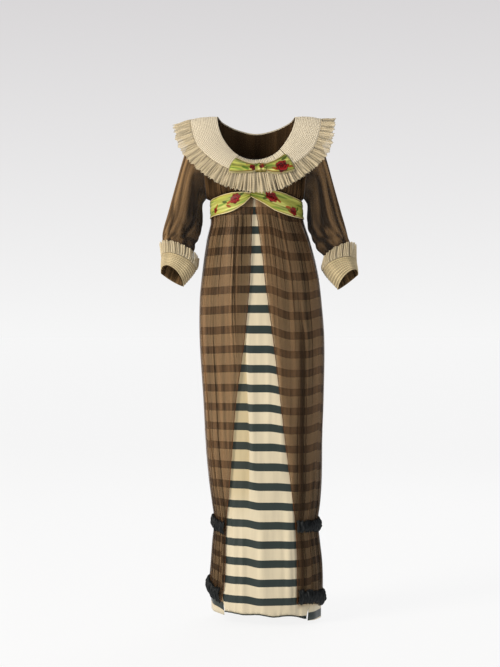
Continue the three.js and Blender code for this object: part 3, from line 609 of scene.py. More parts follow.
# %% Sections of the skirt
# height, half-width, depth in front, depth behind, centre, then the tunic's two front edges,
# at the wearer's right and left
SKIRT = np.array([
    (-214, 118, 96, 83, 3, -3.5, 0), (-240, 118, 97, 84, 4, -4.5, 1),
    (-262, 119, 98, 87, 5, -8, 4), (-283, 122, 100, 91, 7, -9, 8),
    (-323, 135, 104, 99, 9, -10, 13), (-377, 148, 110, 110, 12, -12, 20),
    (-431, 158, 116, 120, 14, -14, 26), (-485, 164, 120, 127, 15, -18, 33),
    (-594, 168, 123, 131, 19, -29, 48), (-755, 162, 121, 127, 23, -51, 67),
    (-863, 157, 119, 124, 24, -60, 80), (-971, 151, 117, 120, 28, -68, 94),
    (-1030, 145, 115, 117, 30, -73, 101), (-1080, 139, 113, 115, 30, -77, 107),
    (-1133, 144, 117, 123, 30, -79, 110), (-1187, 149, 120, 134, 31, -79, 111),
    (-1241, 152, 123, 147, 30, -82, 111), (-1310, 150, 125, 164, 30, -95, 111)], float)
HALF, FRONT, BACK, CENTRE, RIGHT_EDGE, LEFT_EDGE = range(1, 7)
SQUARENESS = 2.25


def section(z, column):
    """One measurement of the skirt at height z."""
    return read_table(SKIRT[:, 0], SKIRT[:, column], z)


def skirt_point(angle, z, out=0.0):
    """x is the half-width times the sine to the power 2/2.25, and y the depth times the cosine
    to the same power; out is added to both, which moves the point off the body."""
    turn = np.radians(angle)
    sine, cosine = np.sin(turn), np.cos(turn)
    depth = np.where(cosine > 0, section(z, FRONT), section(z, BACK))
    power = 2 / SQUARENESS
    x = section(z, CENTRE) + (section(z, HALF) + out) * signed_power(sine, power)
    y = -(depth + out) * signed_power(cosine, power)
    return np.stack(np.broadcast_arrays(x, y, z), -1)


def inset(angle):
    """The silk hangs 6 mm inside the chiffon in front and behind, and 1.6 mm at the sides."""
    return 1.6 + 4.4 * np.cos(np.radians(angle)) ** 2


def front_angle(x, z):
    """The angle at which a point x across the front lies: the section's formula turned round."""
    share = np.clip((x - section(z, CENTRE)) / section(z, HALF), -1, 1)
    return np.degrees(np.arcsin(signed_power(share, SQUARENESS / 2)))


def from_axis(points):
    """The direction from the body's axis to each point, level with it."""
    away = points.copy()
    away[..., 0] -= section(points[..., 2], CENTRE)
    away[..., 2] = 0
    return away


def waist_z(angle):
    """The waist seam rises by 24 mm at the centre front: the cosine squared of the angle."""
    return -238 + 24 * np.maximum(0, np.cos(np.radians(angle))) ** 2


print("the hips are", 2 * SKIRT[:, HALF].max(), "mm wide")

# %% [markdown]
# ## Folds of the underskirt
# The silk hangs just inside the chiffon and shows in the opening. It has one sharp pressed pleat,
# soft waves below the knee and small puckers where the hem is stitched. A cloth simulation would
# place its folds by chance; a short table of ridges puts each where it hangs on this dress.

# %% Folds of the underskirt
# across, height, half-width, where it starts and where it ends
SILK_FOLDS = [(-6, 2.4, 7, -560, -1010), (-58, 3.4, 9, -900, -1335), (-36, 2.2, 7, -1020, -1335),
              (18, 3.6, 15, -1000, -1335), (56, -2.6, 12, -940, -1335), (92, 3.6, 10, -960, -1335),
              (36, 1.6, 6, -540, -900), (70, 1.8, 7, -620, -1000)]
# across, half-width and height of the narrow folds near the hem
LOW_FOLDS = [(-74, 3.5, 1.6), (-63, 2.5, -1.2), (104, 4, 1.6), (116, 3, -1.3), (-34, 9, 0.9),
             (52, 12, 1.1), (76, 7, -0.9)]
FRONT_HEM = -1318


def pleat_line(z):
    """The pressed pleat leans 9 mm to the wearer's left on its way down."""
    return -24.5 + 9 * smooth(-600, -880, z)


def silk_relief(x, z):
    """Soft ridges down the panel, each fading in below its top and out above its bottom. The
    pressed pleat is a quick rise over 4 mm; at the wearer's right of it the silk lies back."""
    out = 0
    for middle, height, width, top, bottom in SILK_FOLDS:
        fade = smooth(bottom - 60, bottom + 100, z) * (1 - smooth(top - 160, top, z))
        out = out + height * ridge(x, middle, width) * fade
    line = pleat_line(z)
    length = (1 - smooth(-600, -480, z)) * smooth(-1060, -920, z)
    out = out + 2.4 * length * smooth(line - 3, line + 1, x) * (1 - smooth(line + 4, line + 60, x))
    out = out - 3.6 * length * (1 - smooth(line - 4, line, x))
    low = 1 - smooth(-1000, -880, z)
    for middle, width, height in LOW_FOLDS:
        out = out + height * low * ridge(x + 4 * np.sin(z / 90), middle, width)
    return out


def hem_crinkle(x, z):
    """The hem's stitching draws it into small puckers, up to 1.2 mm deep at the very edge."""
    pucker = np.sin(x / 3.1 + 1.5 * np.sin(x / 11)) + 0.6 * np.sin(x / 7.3 + 2)
    return 0.75 * pucker * (1 - smooth(FRONT_HEM, FRONT_HEM + 22, z))


print("the silk's wave at the right knee is", round(float(silk_relief(-58, -1150)), 2), "mm high")

# %% [markdown]
# ## How the stripes hang
# Woven stripes are level on the flat cloth. On the dress they sag where the cloth hangs slack and
# rise where a fold pulls it up. They could be bent by moving the points, which would also move
# the hem. `stripe_drop` gives how far a stripe lies below its level, and only the UV takes it in.

# %% Drops of the stripes
# height, drop in the middle, more drop at the right front, at the far right and at the left
HANG = np.array([(-262, 0.8, 0, 0, 17), (-356, 1, 0.8, 3, 17.5), (-450, 2.5, 0.5, 4, 18),
                 (-509, 2.8, 0, 4, 17.5), (-570, 5.8, -0.8, 4, 16.5), (-670, 5.8, -1.5, 2.5, 13),
                 (-770, 5.6, -2.5, 1, 10), (-870, 6, -4, -0.5, 7), (-980, 7.2, -5.3, -2.5, 4.3),
                 (-1082, 6.8, -6.5, -4, 2.7), (-1182, 3.6, -6.7, -4, 0.6), (-1232, 2, -6.7, -3, 0),
                 (-1300, -1.6, -5.5, -2, -0.8)], float)


def hang(z, column):
    """One column of the table of the stripes' drops at height z."""
    return read_table(HANG[:, 0], HANG[:, column], z)


def stripe_drop(x, z):
    """How far the stripes hang below their own level across the front: the silk sags towards the
    left of the wearer, most under the hip, and rises again round the side. In the middle the
    drop changes over a narrow width, at the pressed pleat above and in a soft wave near the hem."""
    low = 1 - smooth(-960, -800, z)
    to_right = 1 - smooth(mix(-26, -32, low), mix(-14, 12, low), x)
    drop = hang(z, 1) + hang(z, 2) * to_right + hang(z, 3) * (1 - smooth(-130, -50, x))
    to_left = smooth(mix(32, 54, low), mix(98, 118, low), x)
    return drop + hang(z, 4) * to_left - 11 * smooth(138, 184, x)


print("at the hip the stripes drop by", stripe_drop(np.array([-100, 0, 100]), -594).round(1), "mm")

# %% [markdown]
# ## Light on the silk
# In the opening the silk is free and white. Under the chiffon less and browner light reaches it,
# and least where pleats lie over each other. The renderer follows the light through one sheer
# layer, but not through the many that are pressed into a pleat. So their shade is laid on the
# silk as a colour that multiplies its own.

# %% Light on the silk
# where a deep fold of the chiffon shades the silk, as a share of the half-width
SHADED_AT = {"left": 0.63, "right": -0.42}


def silk_light(x, z):
    """The colour of the light that reaches the silk: white in the opening, tan in the shade at
    the right of the pressed pleat, brown under the chiffon and darkest where that lies in many
    folds at the left. Beside the left front edge a strip lies under a single layer, and two
    folds of the chiffon shade narrow strips. Left and right are the wearer's. Below the
    chiffon's hem the silk is free and white again."""
    at_right, at_left = section(z, RIGHT_EDGE), section(z, LEFT_EDGE)
    length = (1 - smooth(-560, -440, z)) * smooth(-1080, -960, z)
    behind = length * (1 - smooth(pleat_line(z) - 3, pleat_line(z), x))
    strip = read_table([-1320, -1050, -960, -750, -500, -240], [16, 22, 22, 12, 3, 2], z)
    under = np.maximum(1 - smooth(at_right - 6, at_right - 1, x), smooth(at_left + 1, at_left + 6, x))
    deep = smooth(at_left + strip, at_left + strip + 8, x)
    white, tan = np.array([1.0, 1.0, 1.0]), np.array([0.77, 0.72, 0.59])
    brown, dark = np.array([0.92, 0.76, 0.58]), np.array([0.62, 0.53, 0.42])
    covered = smooth(-1304, -1288, z)
    light = mix(white, tan, behind[..., None])
    light = mix(light, brown, (under * covered)[..., None])
    light = mix(light, dark, (deep * covered)[..., None])
    middle, half = section(z, CENTRE), section(z, HALF)
    folds = ridge(x, middle + SHADED_AT["left"] * half, 8) * (1 - smooth(-640, -500, z)) * covered
    folds = folds + 0.3 * ridge(x, middle + SHADED_AT["right"] * half, 6) * smooth(-660, -520, z)
    light = light * (1 - 0.85 * folds)[..., None]
    return np.concatenate([light, np.ones(light.shape[:-1] + (1,))], -1)


print("light at the hip, far right to far left of the front:")
print(silk_light(np.array([-150.0, 0.0, 60.0, 150.0]), np.full(4, -594.0)).round(2)[:, :3])

# %% [markdown]
# ## Front panel
# Two panels are sewn together at the sides and left open there near the hem. They could be one
# tube, but the slits part them. The front one ends 28 mm above the floor. A cord along its hem
# stands for the dark green silk binding, of which the eye sees one thin dull line.

# %% Front panel
# height, and the angle of the side seam there
SEAM = np.array([(-214, 80), (-594, 76), (-1000, 62), (-1345, 46)], float)
# across, and how far the front hem lies above its level there
HEM_RISE = ([-115, -60, 0, 40, 80, 115, 134], [8, 5, 3, -1, -1, -4, -9])
FRONT_GRID = (150, 130)


def slit_open(z):
    """How far the side slits have opened at height z: 0 above them and 1 at the front hem."""
    return 1 - smooth(FRONT_HEM, FRONT_HEM + 56, z)


def build_front_panel():
    """Rows run from the waist to the hem and columns from side seam to side seam; the angle at
    each row is spread evenly between the two seams, which part into slits near the hem. At the
    left slit the corner curls back, by 3.2 degrees at the very edge."""
    u, v = grid(*FRONT_GRID)
    z = mix(waist_z(0) - 1, FRONT_HEM, v)
    seam = read_table(SEAM[:, 0], SEAM[:, 1], z) - 0.15 - 0.4 * slit_open(z)
    curl = 3.2 * (1 - smooth(FRONT_HEM + 2, FRONT_HEM + 32, z))
    angle = mix(-seam, seam - curl, u)
    x = skirt_point(angle, z)[..., 0]
    rise = read_table(*HEM_RISE, x) + 1.5 * np.sin(x / 13 + 0.6)
    z = z + rise * (1 - smooth(FRONT_HEM, FRONT_HEM + 78, z))
    points = skirt_point(angle, z, silk_relief(x, z) - inset(angle) + hem_crinkle(x, z))
    uv = np.stack([x, z + stripe_drop(x, z)], -1) * MM
    return cloth("silk_front_panel", points, from_axis(points), uv, striped_silk, 0.8,
                 paint=silk_light(x, z))


def panel_hem_path(panel, columns, rows):
    """The last row of a panel's own grid of points, in mm, moved 0.4 mm down."""
    place_of = np.zeros(columns * rows * 3)
    panel.data.vertices.foreach_get("co", place_of)
    return place_of.reshape(rows, columns, 3)[-1] / MM - np.array([0, 0, 0.4])


front_panel = place(build_front_panel(), "striped_silk", "underskirt_front")
green_silk, _, _ = new_material("dark green silk binding", {
    "Base Color": linear("#18231F"), "Roughness": 0.55, "Sheen Weight": 0.1})
hem_cord = place(tube("silk_hem_cord", panel_hem_path(front_panel, *FRONT_GRID), 1.7, green_silk, 6),
                 "striped_silk")
print("front panel", len(front_panel.data.polygons), "cells, cord", len(hem_cord.data.polygons))

# %% [markdown]
# ## Back panel
# The back panel is a little longer and swings out behind as a short train. Its flutes could be
# placed one by one like the front's, but they only show through the chiffon, so even ones will do.

# %% Back panel
# angle, and the height of the back hem there
BACK_HEM = np.array([(-180, -1344), (-90, -1317), (-46, -1321), (46, -1336), (90, -1338),
                     (180, -1344)], float)


def wrap_uv(angle, z, radius):
    """The place on the flat cloth in metres: the arc at a mean radius, and the height, in mm."""
    return np.stack([np.radians(angle) * radius, z], -1) * MM


def build_back_panel():
    """The same from seam to seam round the back. It reaches 3 mm above the waist seam, and in
    its lowest 50 mm it swings out by up to 26 mm. All of it lies under the chiffon, so its light
    is that of a place beyond either front edge."""
    u, v = grid(120, 100)
    turn = mix(46, 314, u)
    hem = read_table(BACK_HEM[:, 0], BACK_HEM[:, 1], np.where(turn > 180, turn - 360, turn))
    z = mix(waist_z(turn) + 3, hem, v)
    seam = read_table(SEAM[:, 0], SEAM[:, 1], z) + 0.15 + 0.5 * slit_open(z)
    angle = mix(seam, 360 - seam, u)
    flutes = 1.1 * np.sin(np.radians(angle) * 14) * (1 - smooth(-900, -500, z))
    points = skirt_point(angle, z, flutes - inset(angle) - 1.2)
    away = (1 - smooth(-1344, -1292, z)) * 26 * np.maximum(0, -np.cos(np.radians(angle)))
    points[..., 1] += away
    points[..., 0] += np.sign(points[..., 0] - section(z, CENTRE)) * 0.2 * away
    side = np.sin(np.radians(angle))
    drop = hang(z, 1) + np.where(side < 0, hang(z, 2) + hang(z, 3), 0.4 * hang(z, 4)) * side**2
    drop = drop + np.where(side < 0, 40 * side, -9 * side) * (1 - smooth(-1250, -1100, z))
    paint = silk_light(np.where(side < 0, -200.0, 200.0), z)
    return cloth("silk_back_panel", points, from_axis(points), wrap_uv(angle, z + drop, 140),
                 striped_silk, 0.8, paint=paint)


back_panel = place(build_back_panel(), "striped_silk", "underskirt_back")
print("back panel", len(back_panel.data.polygons), "cells")

# %% [markdown]
# ## Folds of the tunic
# The chiffon is gathered into the belt: many short fine folds just below it, of which a few run
# on as long folds to the hem. They could be drawn as a bump only, but folds this deep have to
# change the outline. Every fold is a soft ridge along the cloth, so its place is an angle, and it
# narrows towards the waist by itself.

# %% Folds of the tunic
# angle, height, half-width in degrees, where it starts and where it ends
LONG_FOLDS = [(-24, 5, 5, -235, -640), (-52, 4, 5, -500, -1180), (-66, 5, 6, -420, -1280),
              (-112, 5, 7, -260, -900), (-150, 6, 7, -300, -1240), (22, 4, 5, -235, -560),
              (40, 6, 5, -520, -1290), (68, 4, 6, -300, -980), (115, 5, 7, -280, -1100),
              (152, 6, 7, -320, -1250)]
SMALL_FOLDS = [(-19, 3.2, 1.4, -262, -600), (-24.5, 2.4, 1.1, -262, -560),
               (35, 2.4, 1.6, -540, -1300), (40.5, 2.8, 1.4, -540, -1300),
               (-54, 1.8, 1.2, -880, -1290), (48, 1.8, 1.2, -880, -1290),
               (-9, 1.6, 1.2, -262, -480), (-30, 2.0, 1.6, -262, -700),
               (-38, 1.6, 1.3, -262, -500), (-46, 2.2, 1.8, -262, -760), (5, 1.8, 1.3, -262, -520),
               (11, 2.4, 1.4, -262, -640), (17, 1.8, 1.3, -262, -500), (29, 2.2, 1.7, -262, -700),
               (37, 1.6, 1.4, -262, -520), (45, 2.0, 1.7, -262, -660), (56, 1.8, 1.5, -262, -560)]


def fold_sum(angle, z, folds, fade_in, fade_out):
    """The sum of soft ridges, each between the heights where it starts and ends."""
    out = 0
    for middle, height, width, top, bottom in folds:
        fade = smooth(bottom - 40, bottom + fade_out, z) * (1 - smooth(top - fade_in, top + 10, z))
        out = out + height * ridge(angle, middle, width) * fade
    return out


def tunic_relief(angle, z):
    """Long folds and even gathers, as in the solid."""
    near_waist = smooth(-470, -235, z)
    ripple = 0.5 - 0.5 * np.cos(np.radians(angle) * 18)
    return fold_sum(angle, z, LONG_FOLDS, 90, 120) + 2.4 * ripple * near_waist


def random_gathers(angle, z, count, seed):
    """Short fine gathers at seeded angles, 1 to 2 degrees wide, that die out 60 to 260 mm down."""
    rng = np.random.default_rng(seed)
    out = 0
    for middle in np.linspace(-178, 178, count) + rng.uniform(-1.5, 1.5, count):
        height, width = rng.uniform(0.8, 2.4), rng.uniform(0.6, 1.2)
        reach = rng.uniform(60, 260)
        fade = smooth(-262 - reach, -262, z) * (1 - smooth(-270, -250, z))
        out = out + height * ridge(angle, middle, width) * fade
    return out


print("long folds", len(LONG_FOLDS), "and small folds", len(SMALL_FOLDS))

# %% [markdown]
# ## Chiffon tunic
# Two halves hang from the waist, each from its rolled front edge round to the centre back, open
# in front as an inverted V. Both could be one sheet with a hole. Two grids were chosen because
# their first column then is the front edge, which the bands and the rolled cord follow too.

# %% Tunic
# angle, and the height of the tunic's hem there
TUNIC_HEM = np.array([(-180, -1286), (-90, -1268), (-50, -1288), (40, -1290), (90, -1303),
                      (180, -1286)], float)
# how far round each half goes, so that a hair's breadth is left between them behind
TUNIC_END = 179.85
# the angle of the deep fold in each half
DEEP_FOLD = {"left": 36.6, "right": -21.6}
TUNIC_RADIUS = 150


def hem_z(angle):
    """The tunic's hem round the body."""
    return read_table(TUNIC_HEM[:, 0], TUNIC_HEM[:, 1], angle)


def tunic_grid(side, u, v):
    """The angle and the height at a share u from the front edge to the back, v down."""
    edge = LEFT_EDGE if side > 0 else RIGHT_EDGE
    start_z = mix(waist_z(0) - 0.45, hem_z(side * 45), v)
    start = front_angle(section(start_z, edge), start_z)
    angle = mix(start, side * TUNIC_END, u)
    return angle, mix(waist_z(angle) - 0.45, hem_z(angle), v)


def tunic_point(angle, z, out=0.0):
    """A point of the finished tunic: the skirt's section with all its folds on it."""
    long_wave = 0.9 * np.sin(np.radians(angle) * 31 + 0.9 * np.sin(z / 160)) * smooth(-300, -700, z)
    fine = fold_sum(angle, z, SMALL_FOLDS, 20, 200) + random_gathers(angle, z, 120, 5)
    return skirt_point(angle, z, tunic_relief(angle, z) + fine + 0.5 * long_wave + out)


def tunic_tone(angle, z, start, side):
    """A grey for each point, 1 where the chiffon is single. It is darker on the front edge's
    facing at the right half, beside the narrow single strip at the left one and where the bands
    draw the hem in. Among the gathers under the belt and in the deep folds the grey is painted
    shade, where the cloth also lies in more layers."""
    inward = np.abs(angle - start)
    if side < 0:
        wide = mix(4.5, 11.5, smooth(-800, -380, z))
        dark = 0.36 * (1 - smooth(wide - 1.6, wide, inward))
    else:
        dark = 0.17 * smooth(3.5, 5.5, inward) * (1 - 0.5 * smooth(-500, -300, z))
    # painted shade: dark lines among the gathers under the belt, where the cloth also lies in more
    # layers
    waist = 0.5 - 0.5 * np.cos(np.radians(angle) * 75 + 2 * np.sin(np.radians(angle) * 13))
    dark = dark + 0.30 * waist**2 * smooth(-400, -262, z)
    dark = dark + (0.36 if side < 0 else 0.24) * (1 - smooth(-1120, -860, z))
    # painted shade in the deep fold of each half, where the cloth also lies three times over
    if side < 0:
        dark = dark + 0.16 * ridge(angle, DEEP_FOLD["right"], 1.8) * smooth(-660, -520, z)
    else:
        dark = dark + 0.75 * ridge(angle, DEEP_FOLD["left"], 3.0) * (1 - smooth(-640, -500, z))
    return 1 - np.clip(dark, 0, 0.9)


def build_tunic(name, side):
    """Columns stand closer where the folds are finest, near the front edge."""
    u, v = grid(230, 84)
    u = u - 0.05 * np.sin(2 * np.pi * u)
    v = mix(v, v**1.4, 0.5)
    angle, z = tunic_grid(side, u, v)
    points = tunic_point(angle, z)
    paint = grey_paint(tunic_tone(angle, z, angle[:, :1], side))
    return cloth(name, points, from_axis(points), wrap_uv(angle, z, TUNIC_RADIUS), chiffon, 0.5,
                 paint=paint)


for name, side in SIDES.items():
    place(build_tunic(f"chiffon_tunic_{name}", side), "chiffon", f"tunic_{name}")

# %% [markdown]
# ## Folded pleats
# Where a pleat is folded over, the cloth lies three times over itself and looks darker. The
# tunic's own grid could turn back on itself there, but that needs far more points. Narrow strips
# of the chiffon, laid on the tunic and pointed at their ends, look the same and cost little: their
# layer is real, and their darker colour is painted shade in the fold.

# %% Folded pleats
# angle, width in degrees, top, bottom, length over which it narrows to nothing above and below
PLEATS = {
    -1: [(-21.6, 2.0, -258, -640, 2, 240), (-23.6, 1.0, -258, -720, 2, 300),
         (-26.5, 1.0, -258, -500, 2, 160),
         (-15.5, 1.1, -258, -440, 2, 120), (-47, 1.2, -430, -1284, 200, 2),
         (-56, 1.4, -700, -1282, 300, 2), (-41, 1.2, -258, -560, 2, 200),
         (-52, 0.9, -258, -480, 2, 140), (-62, 1.0, -258, -540, 2, 160)],
    1: [(36.2, 2.4, -480, -1284, 120, 2), (38.8, 1.2, -620, -1284, 200, 2),
        (13, 1.2, -258, -560, 2, 200), (8.5, 0.9, -258, -470, 2, 140),
        (20, 1.0, -258, -520, 2, 160), (28, 1.1, -258, -640, 2, 220), (31, 0.9, -700, -1070, 160, 100),
        (50, 1.2, -300, -820, 60, 300), (44, 1.0, -258, -560, 2, 200)]}


def upper_middle(angle):
    """The upper band's middle. It dips 9 mm at the left side, and 12 mm in front at the right."""
    dip = 12 * smooth(-78, -44, angle) * (1 - smooth(-40, 0, angle))
    return -1080 - 9 * np.maximum(0, np.sin(np.radians(angle))) - dip


def all_pleats(side):
    """The pleats listed in the table, then short ones under the belt and above and below the upper
    band, at seeded angles, and a few long ones round the back. Within 12 degrees of the centre,
    where the tunic opens, only the short ones are kept."""
    rng = np.random.default_rng(90 + side)
    rows = list(PLEATS[side])
    for middle in np.linspace(6, 174, 44) + rng.uniform(-1.6, 1.6, 44):
        reach = rng.uniform(50, 240)
        rows.append((side * middle, rng.uniform(0.35, 0.9), -258, -262 - reach, 2, 0.8 * reach))
    for middle in np.linspace(49, 176, 46) + rng.uniform(-1, 1, 46):
        reach = rng.uniform(60, 260)
        top = upper_middle(side * middle) + reach
        rows.append((side * middle, rng.uniform(0.5, 1.1), top, -1262, 0.9 * reach, 2))
    for middle in (70, 96, 118, 139, 158, 172):
        rows.append((side * middle, rng.uniform(1.0, 1.8), rng.uniform(-420, -300), -1262, 160, 2))
    return [row for row in rows if abs(row[0]) > 12 or row[3] > -520]


def build_pleats(name, side):
    """Narrow strips of the chiffon that lie on the tunic where its pleats are folded over, in a
    darker colour that is painted shade: each strip widens from a point, over the length given, to
    its full width."""
    rows = np.array(all_pleats(side), float).T[:, :, None, None]
    middle, width, top, bottom, above, below = rows
    s, t = np.meshgrid(np.linspace(-0.5, 0.5, 3), np.linspace(0, 1, 36))
    z = mix(top, bottom, t)
    full = smooth(0, 1, (top - z) / above) * smooth(0, 1, (z - bottom) / below)
    angle = middle + 0.35 * np.sin(z / 70 + middle) + s * width * (0.08 + 0.92 * full)
    points = tunic_point(angle, z, 0.9)
    return cloth(name, points, from_axis(points), wrap_uv(angle, z, TUNIC_RADIUS), shaded_folded_chiffon,
                 0.4)


for name, side in SIDES.items():
    place(build_pleats(f"chiffon_pleats_{name}", side), "chiffon")
print("pleats", [len(all_pleats(side)) for side in SIDES.values()])

# %% [markdown]
# ## The collar's rings
# The collar lies round the neckline as a wide flat ring that drops in front and behind. It could
# be cut flat and dropped on the shoulders in a simulation. Three rings round the neck say the
# same in one table: the neckline, the seam and the ruffle's free edge. A point lies a share of
# the way between two of them, lifted off by the pleats.

# %% Collar rings
# angle, then x, y, z of the neckline, of the seam and of the ruffle's edge
COLLAR = np.array([
    (-180, 4, 66, -30, 4, 104, -92, 4, 120, -138),
    (-150, -48, 57, -20, -92, 92, -66, -120, 110, -106),
    (-120, -86, 34, -4, -152, 50, -26, -194, 62, -52),
    (-90, -101, 0, 7, -173, 0, 0, -218, -2, -15),
    (-60, -87, -42, -51, -152, -66, -77, -191, -66, -99),
    (-30, -49, -73, -100, -76, -111, -139, -97, -125, -181),
    (0, 3, -85, -116, 8, -120, -152, 13, -138, -207),
    (30, 56, -73, -96, 78, -115, -141, 97, -127, -183),
    (60, 94, -42, -42, 154, -66, -84, 191, -68, -101),
    (90, 108, 0, 7, 179, 0, 2, 216, -3, 3),
    (120, 94, 34, -4, 160, 50, -24, 198, 62, -46),
    (150, 56, 57, -20, 100, 92, -66, 128, 110, -106)], float)
CROWN = 4.0
# the angles at which the flat collar begins and ends, round the back
COLLAR_ENDS = (37, 333)


def ring_round(column, angle):
    """One column of the collar's table, read round the full turn."""
    keys = np.r_[COLLAR[-2:, 0] - 360, COLLAR[:, 0], COLLAR[:2, 0] + 360]
    values = np.r_[COLLAR[-2:, column], COLLAR[:, column], COLLAR[:2, column]]
    return read_table(keys, values, (angle + 180) % 360 - 180)


def collar_outward(angle):
    """Forward and up, turning round the neck with the angle."""
    turn = np.radians(angle)
    up = 0.5 + 0.4 * np.abs(np.sin(turn))
    return unit(np.stack([0.45 * np.sin(turn), -0.86 * np.cos(turn), up], -1))


def collar_point(angle, share, out=0.0):
    """Share 0 is the neckline, 1 the seam and 2 the ruffle's edge; between neckline and seam the
    cloth crowns by 4 mm, as 4t(1-t)."""
    angle, share, out = np.broadcast_arrays(np.asarray(angle, float), share, out)
    rings = [np.stack([ring_round(3 * k + axis, angle) for axis in (1, 2, 3)], -1) for k in range(3)]
    inner = share < 1
    t = np.where(inner, share, share - 1)
    start = np.where(inner[..., None], rings[0], rings[1])
    end = np.where(inner[..., None], rings[1], rings[2])
    crown = np.where(inner, CROWN * 4 * t * (1 - t), 0)
    return mix(start, end, t[..., None]) + collar_outward(angle) * (crown + out)[..., None]


print("the neckline's lowest point", collar_point(0, 0.0).round(1))

# %% [markdown]
# ## Pleats of uneven width
# Hand-pressed pleats are never all alike. A ruffle could be made from one pleat and an Array
# modifier, but the eye finds the repeat at once. Here a sine's phase wanders as it goes along, so
# that each pleat has its own width, and the seed makes the same pleats each time.

# %% Pleats
def even_angles(start, end, share, count):
    """Angles whose points lie at equal distances along one ring of the collar."""
    sample = np.linspace(start, end, 1441)
    step = np.linalg.norm(np.diff(collar_point(sample, share), axis=0), axis=1)
    length = np.r_[0, np.cumsum(step)]
    return np.interp(np.linspace(0, length[-1], count), length, sample), length[-1]


def uneven_pleats(length, count, seed, sharp=1.3):
    """Pleats of uneven width along a length: a sine whose phase wanders by seeded slow sines,
    pressed a little flatter on its crests. It returns heights from -1 to 1."""
    rng = np.random.default_rng(seed)
    along = length / length.max()
    phase = 2 * np.pi * count * along
    for k in range(1, 6):
        phase = phase + rng.uniform(0.35, 0.95) * np.sin(
            2 * np.pi * along * k * count / 13 + rng.uniform(0, 6))
    return np.tanh(sharp * np.sin(phase)) / np.tanh(sharp)


def pleat_tone(fine, wide):
    """Light on the crests of pleats and dark between them, where little light comes in."""
    return 0.46 + 0.54 * smooth(-1.1, 0.6, fine + 0.5 * wide)


def flat_uv(length, width):
    """The place on the flat cloth in metres: lengths along it and widths across it, in mm."""
    return np.stack(np.meshgrid(length, width), -1) * MM


print("four pleats read at five places", uneven_pleats(np.linspace(0, 40, 5), 4, 11).round(2))

# %% [markdown]
# ## Collar and ruffle
# The wide collar is flat linen. A ruffle of the finer linen is sewn to its edge, and a finely
# tucked piece fills the gap between its two front ends. All three could be one grid. Three were
# made, because each is a cloth of its own, with its own seams, threads and number of pleats.

# %% Collar
def build_collar_linen():
    """From the left front end round the back to the right front end, with a few soft dents."""
    columns, rows = 260, 26
    angles, length = even_angles(*COLLAR_ENDS, 0.6, columns)
    share, along = np.meshgrid(np.linspace(0, 0.985, rows), angles, indexing="ij")
    dents = 0.8 * np.sin(np.radians(along) * 9 + 3 * share) + 0.5 * np.sin(np.radians(along) * 17)
    rolled = 0.8 * ridge(share, 0, 0.05) + 0.8 * ridge(share, 0.985, 0.05)
    points = collar_point(along, share, 0.5 * dents * smooth(0, 0.4, share) + rolled)
    uv = flat_uv(np.linspace(0, length, columns), np.linspace(0, 78, rows))
    return cloth("collar_band", points, collar_outward(along), uv, linen, 0.9)


def build_collar_insert():
    """Fine tucks across the front, each a pleat that runs from the neckline to the seam."""
    columns, rows = 400, 14
    angles, length = even_angles(-26.5, 36.5, 0.6, columns)
    share, along = np.meshgrid(np.linspace(0, 0.99, rows), angles, indexing="ij")
    along_mm = np.linspace(0, length, columns)
    tucks = uneven_pleats(along_mm, 34, 3)[None] * (0.75 + 0.25 * share)
    points = collar_point(along, share, 1.3 * tucks)
    # painted shade between the tucks, lighter on their crests
    paint = grey_paint(0.55 + 0.45 * smooth(-0.9, 0.7, tucks))
    return cloth("collar_tucked_front", points, collar_outward(along),
                 flat_uv(along_mm, np.linspace(0, 40, rows)), tucked_linen, 0.6, paint=paint)


def build_collar_ruffle():
    """Narrow uneven pleats that stand higher towards the free edge, where they also wander a
    little up and down; the two ends overlap beside the bow. The strip was 1.7 times as long as
    the edge it is drawn into."""
    columns, rows = 1400, 12
    angles, length = even_angles(17, 376.2, 1.7, columns)
    share, along = np.meshgrid(np.linspace(1.01, 2, rows), angles, indexing="ij")
    along_mm = np.linspace(0, length, columns)
    broad = np.sin(along_mm / 27 + 2 * np.sin(along_mm / 90))[None]
    fall = share - 1
    wander = (2.6 * np.sin(along_mm / 17) + 1.6 * np.sin(along_mm / 6.3 + 2))[None] * fall
    fine = uneven_pleats(np.clip(along_mm[None] + wander, 0, length), 152, 11, 1.0)
    wide = uneven_pleats(np.clip(along_mm[None] - wander, 0, length), 57, 14, 1.0)
    fine = fine * (0.66 + 0.34 * np.sin(along_mm[None] / 13 + 7 * fall + 2 * np.sin(along_mm / 41)))
    out = fine * mix(1.7, 2.3, fall) + wide * mix(0.3, 2.1, fall) + 1.4 * broad * fall
    ripple = 0.040 * uneven_pleats(along_mm, 146, 12)[None] + 0.030 * wide + 0.012 * broad
    points = collar_point(along, share + ripple * smooth(0.4, 1, fall), out)
    paint = grey_paint(pleat_tone(fine, wide))
    return cloth("collar_pleated_ruffle", points, collar_outward(along),
                 flat_uv(along_mm * 1.7, np.linspace(0, 48, rows)), ruffle_linen, 0.6, paint=paint)


collar_band = place(build_collar_linen(), "linen", "collar_linen")
collar_front = place(build_collar_insert(), "linen", "collar_insert")
collar_ruffle = place(build_collar_ruffle(), "pleated_linen", "collar_ruffle")
print("ruffle", len(collar_ruffle.data.polygons), "cells")

# %% [markdown]
# ## The rings of the arm
# A sleeve is a tube along the arm. It could follow a curve with one radius, but an arm is oval,
# bends forward and hangs lower inside than outside. So it is drafted by rings: each has an outer
# and an inner point, a depth front to back, and a forward reach. The rings between them are read
# from smooth curves.

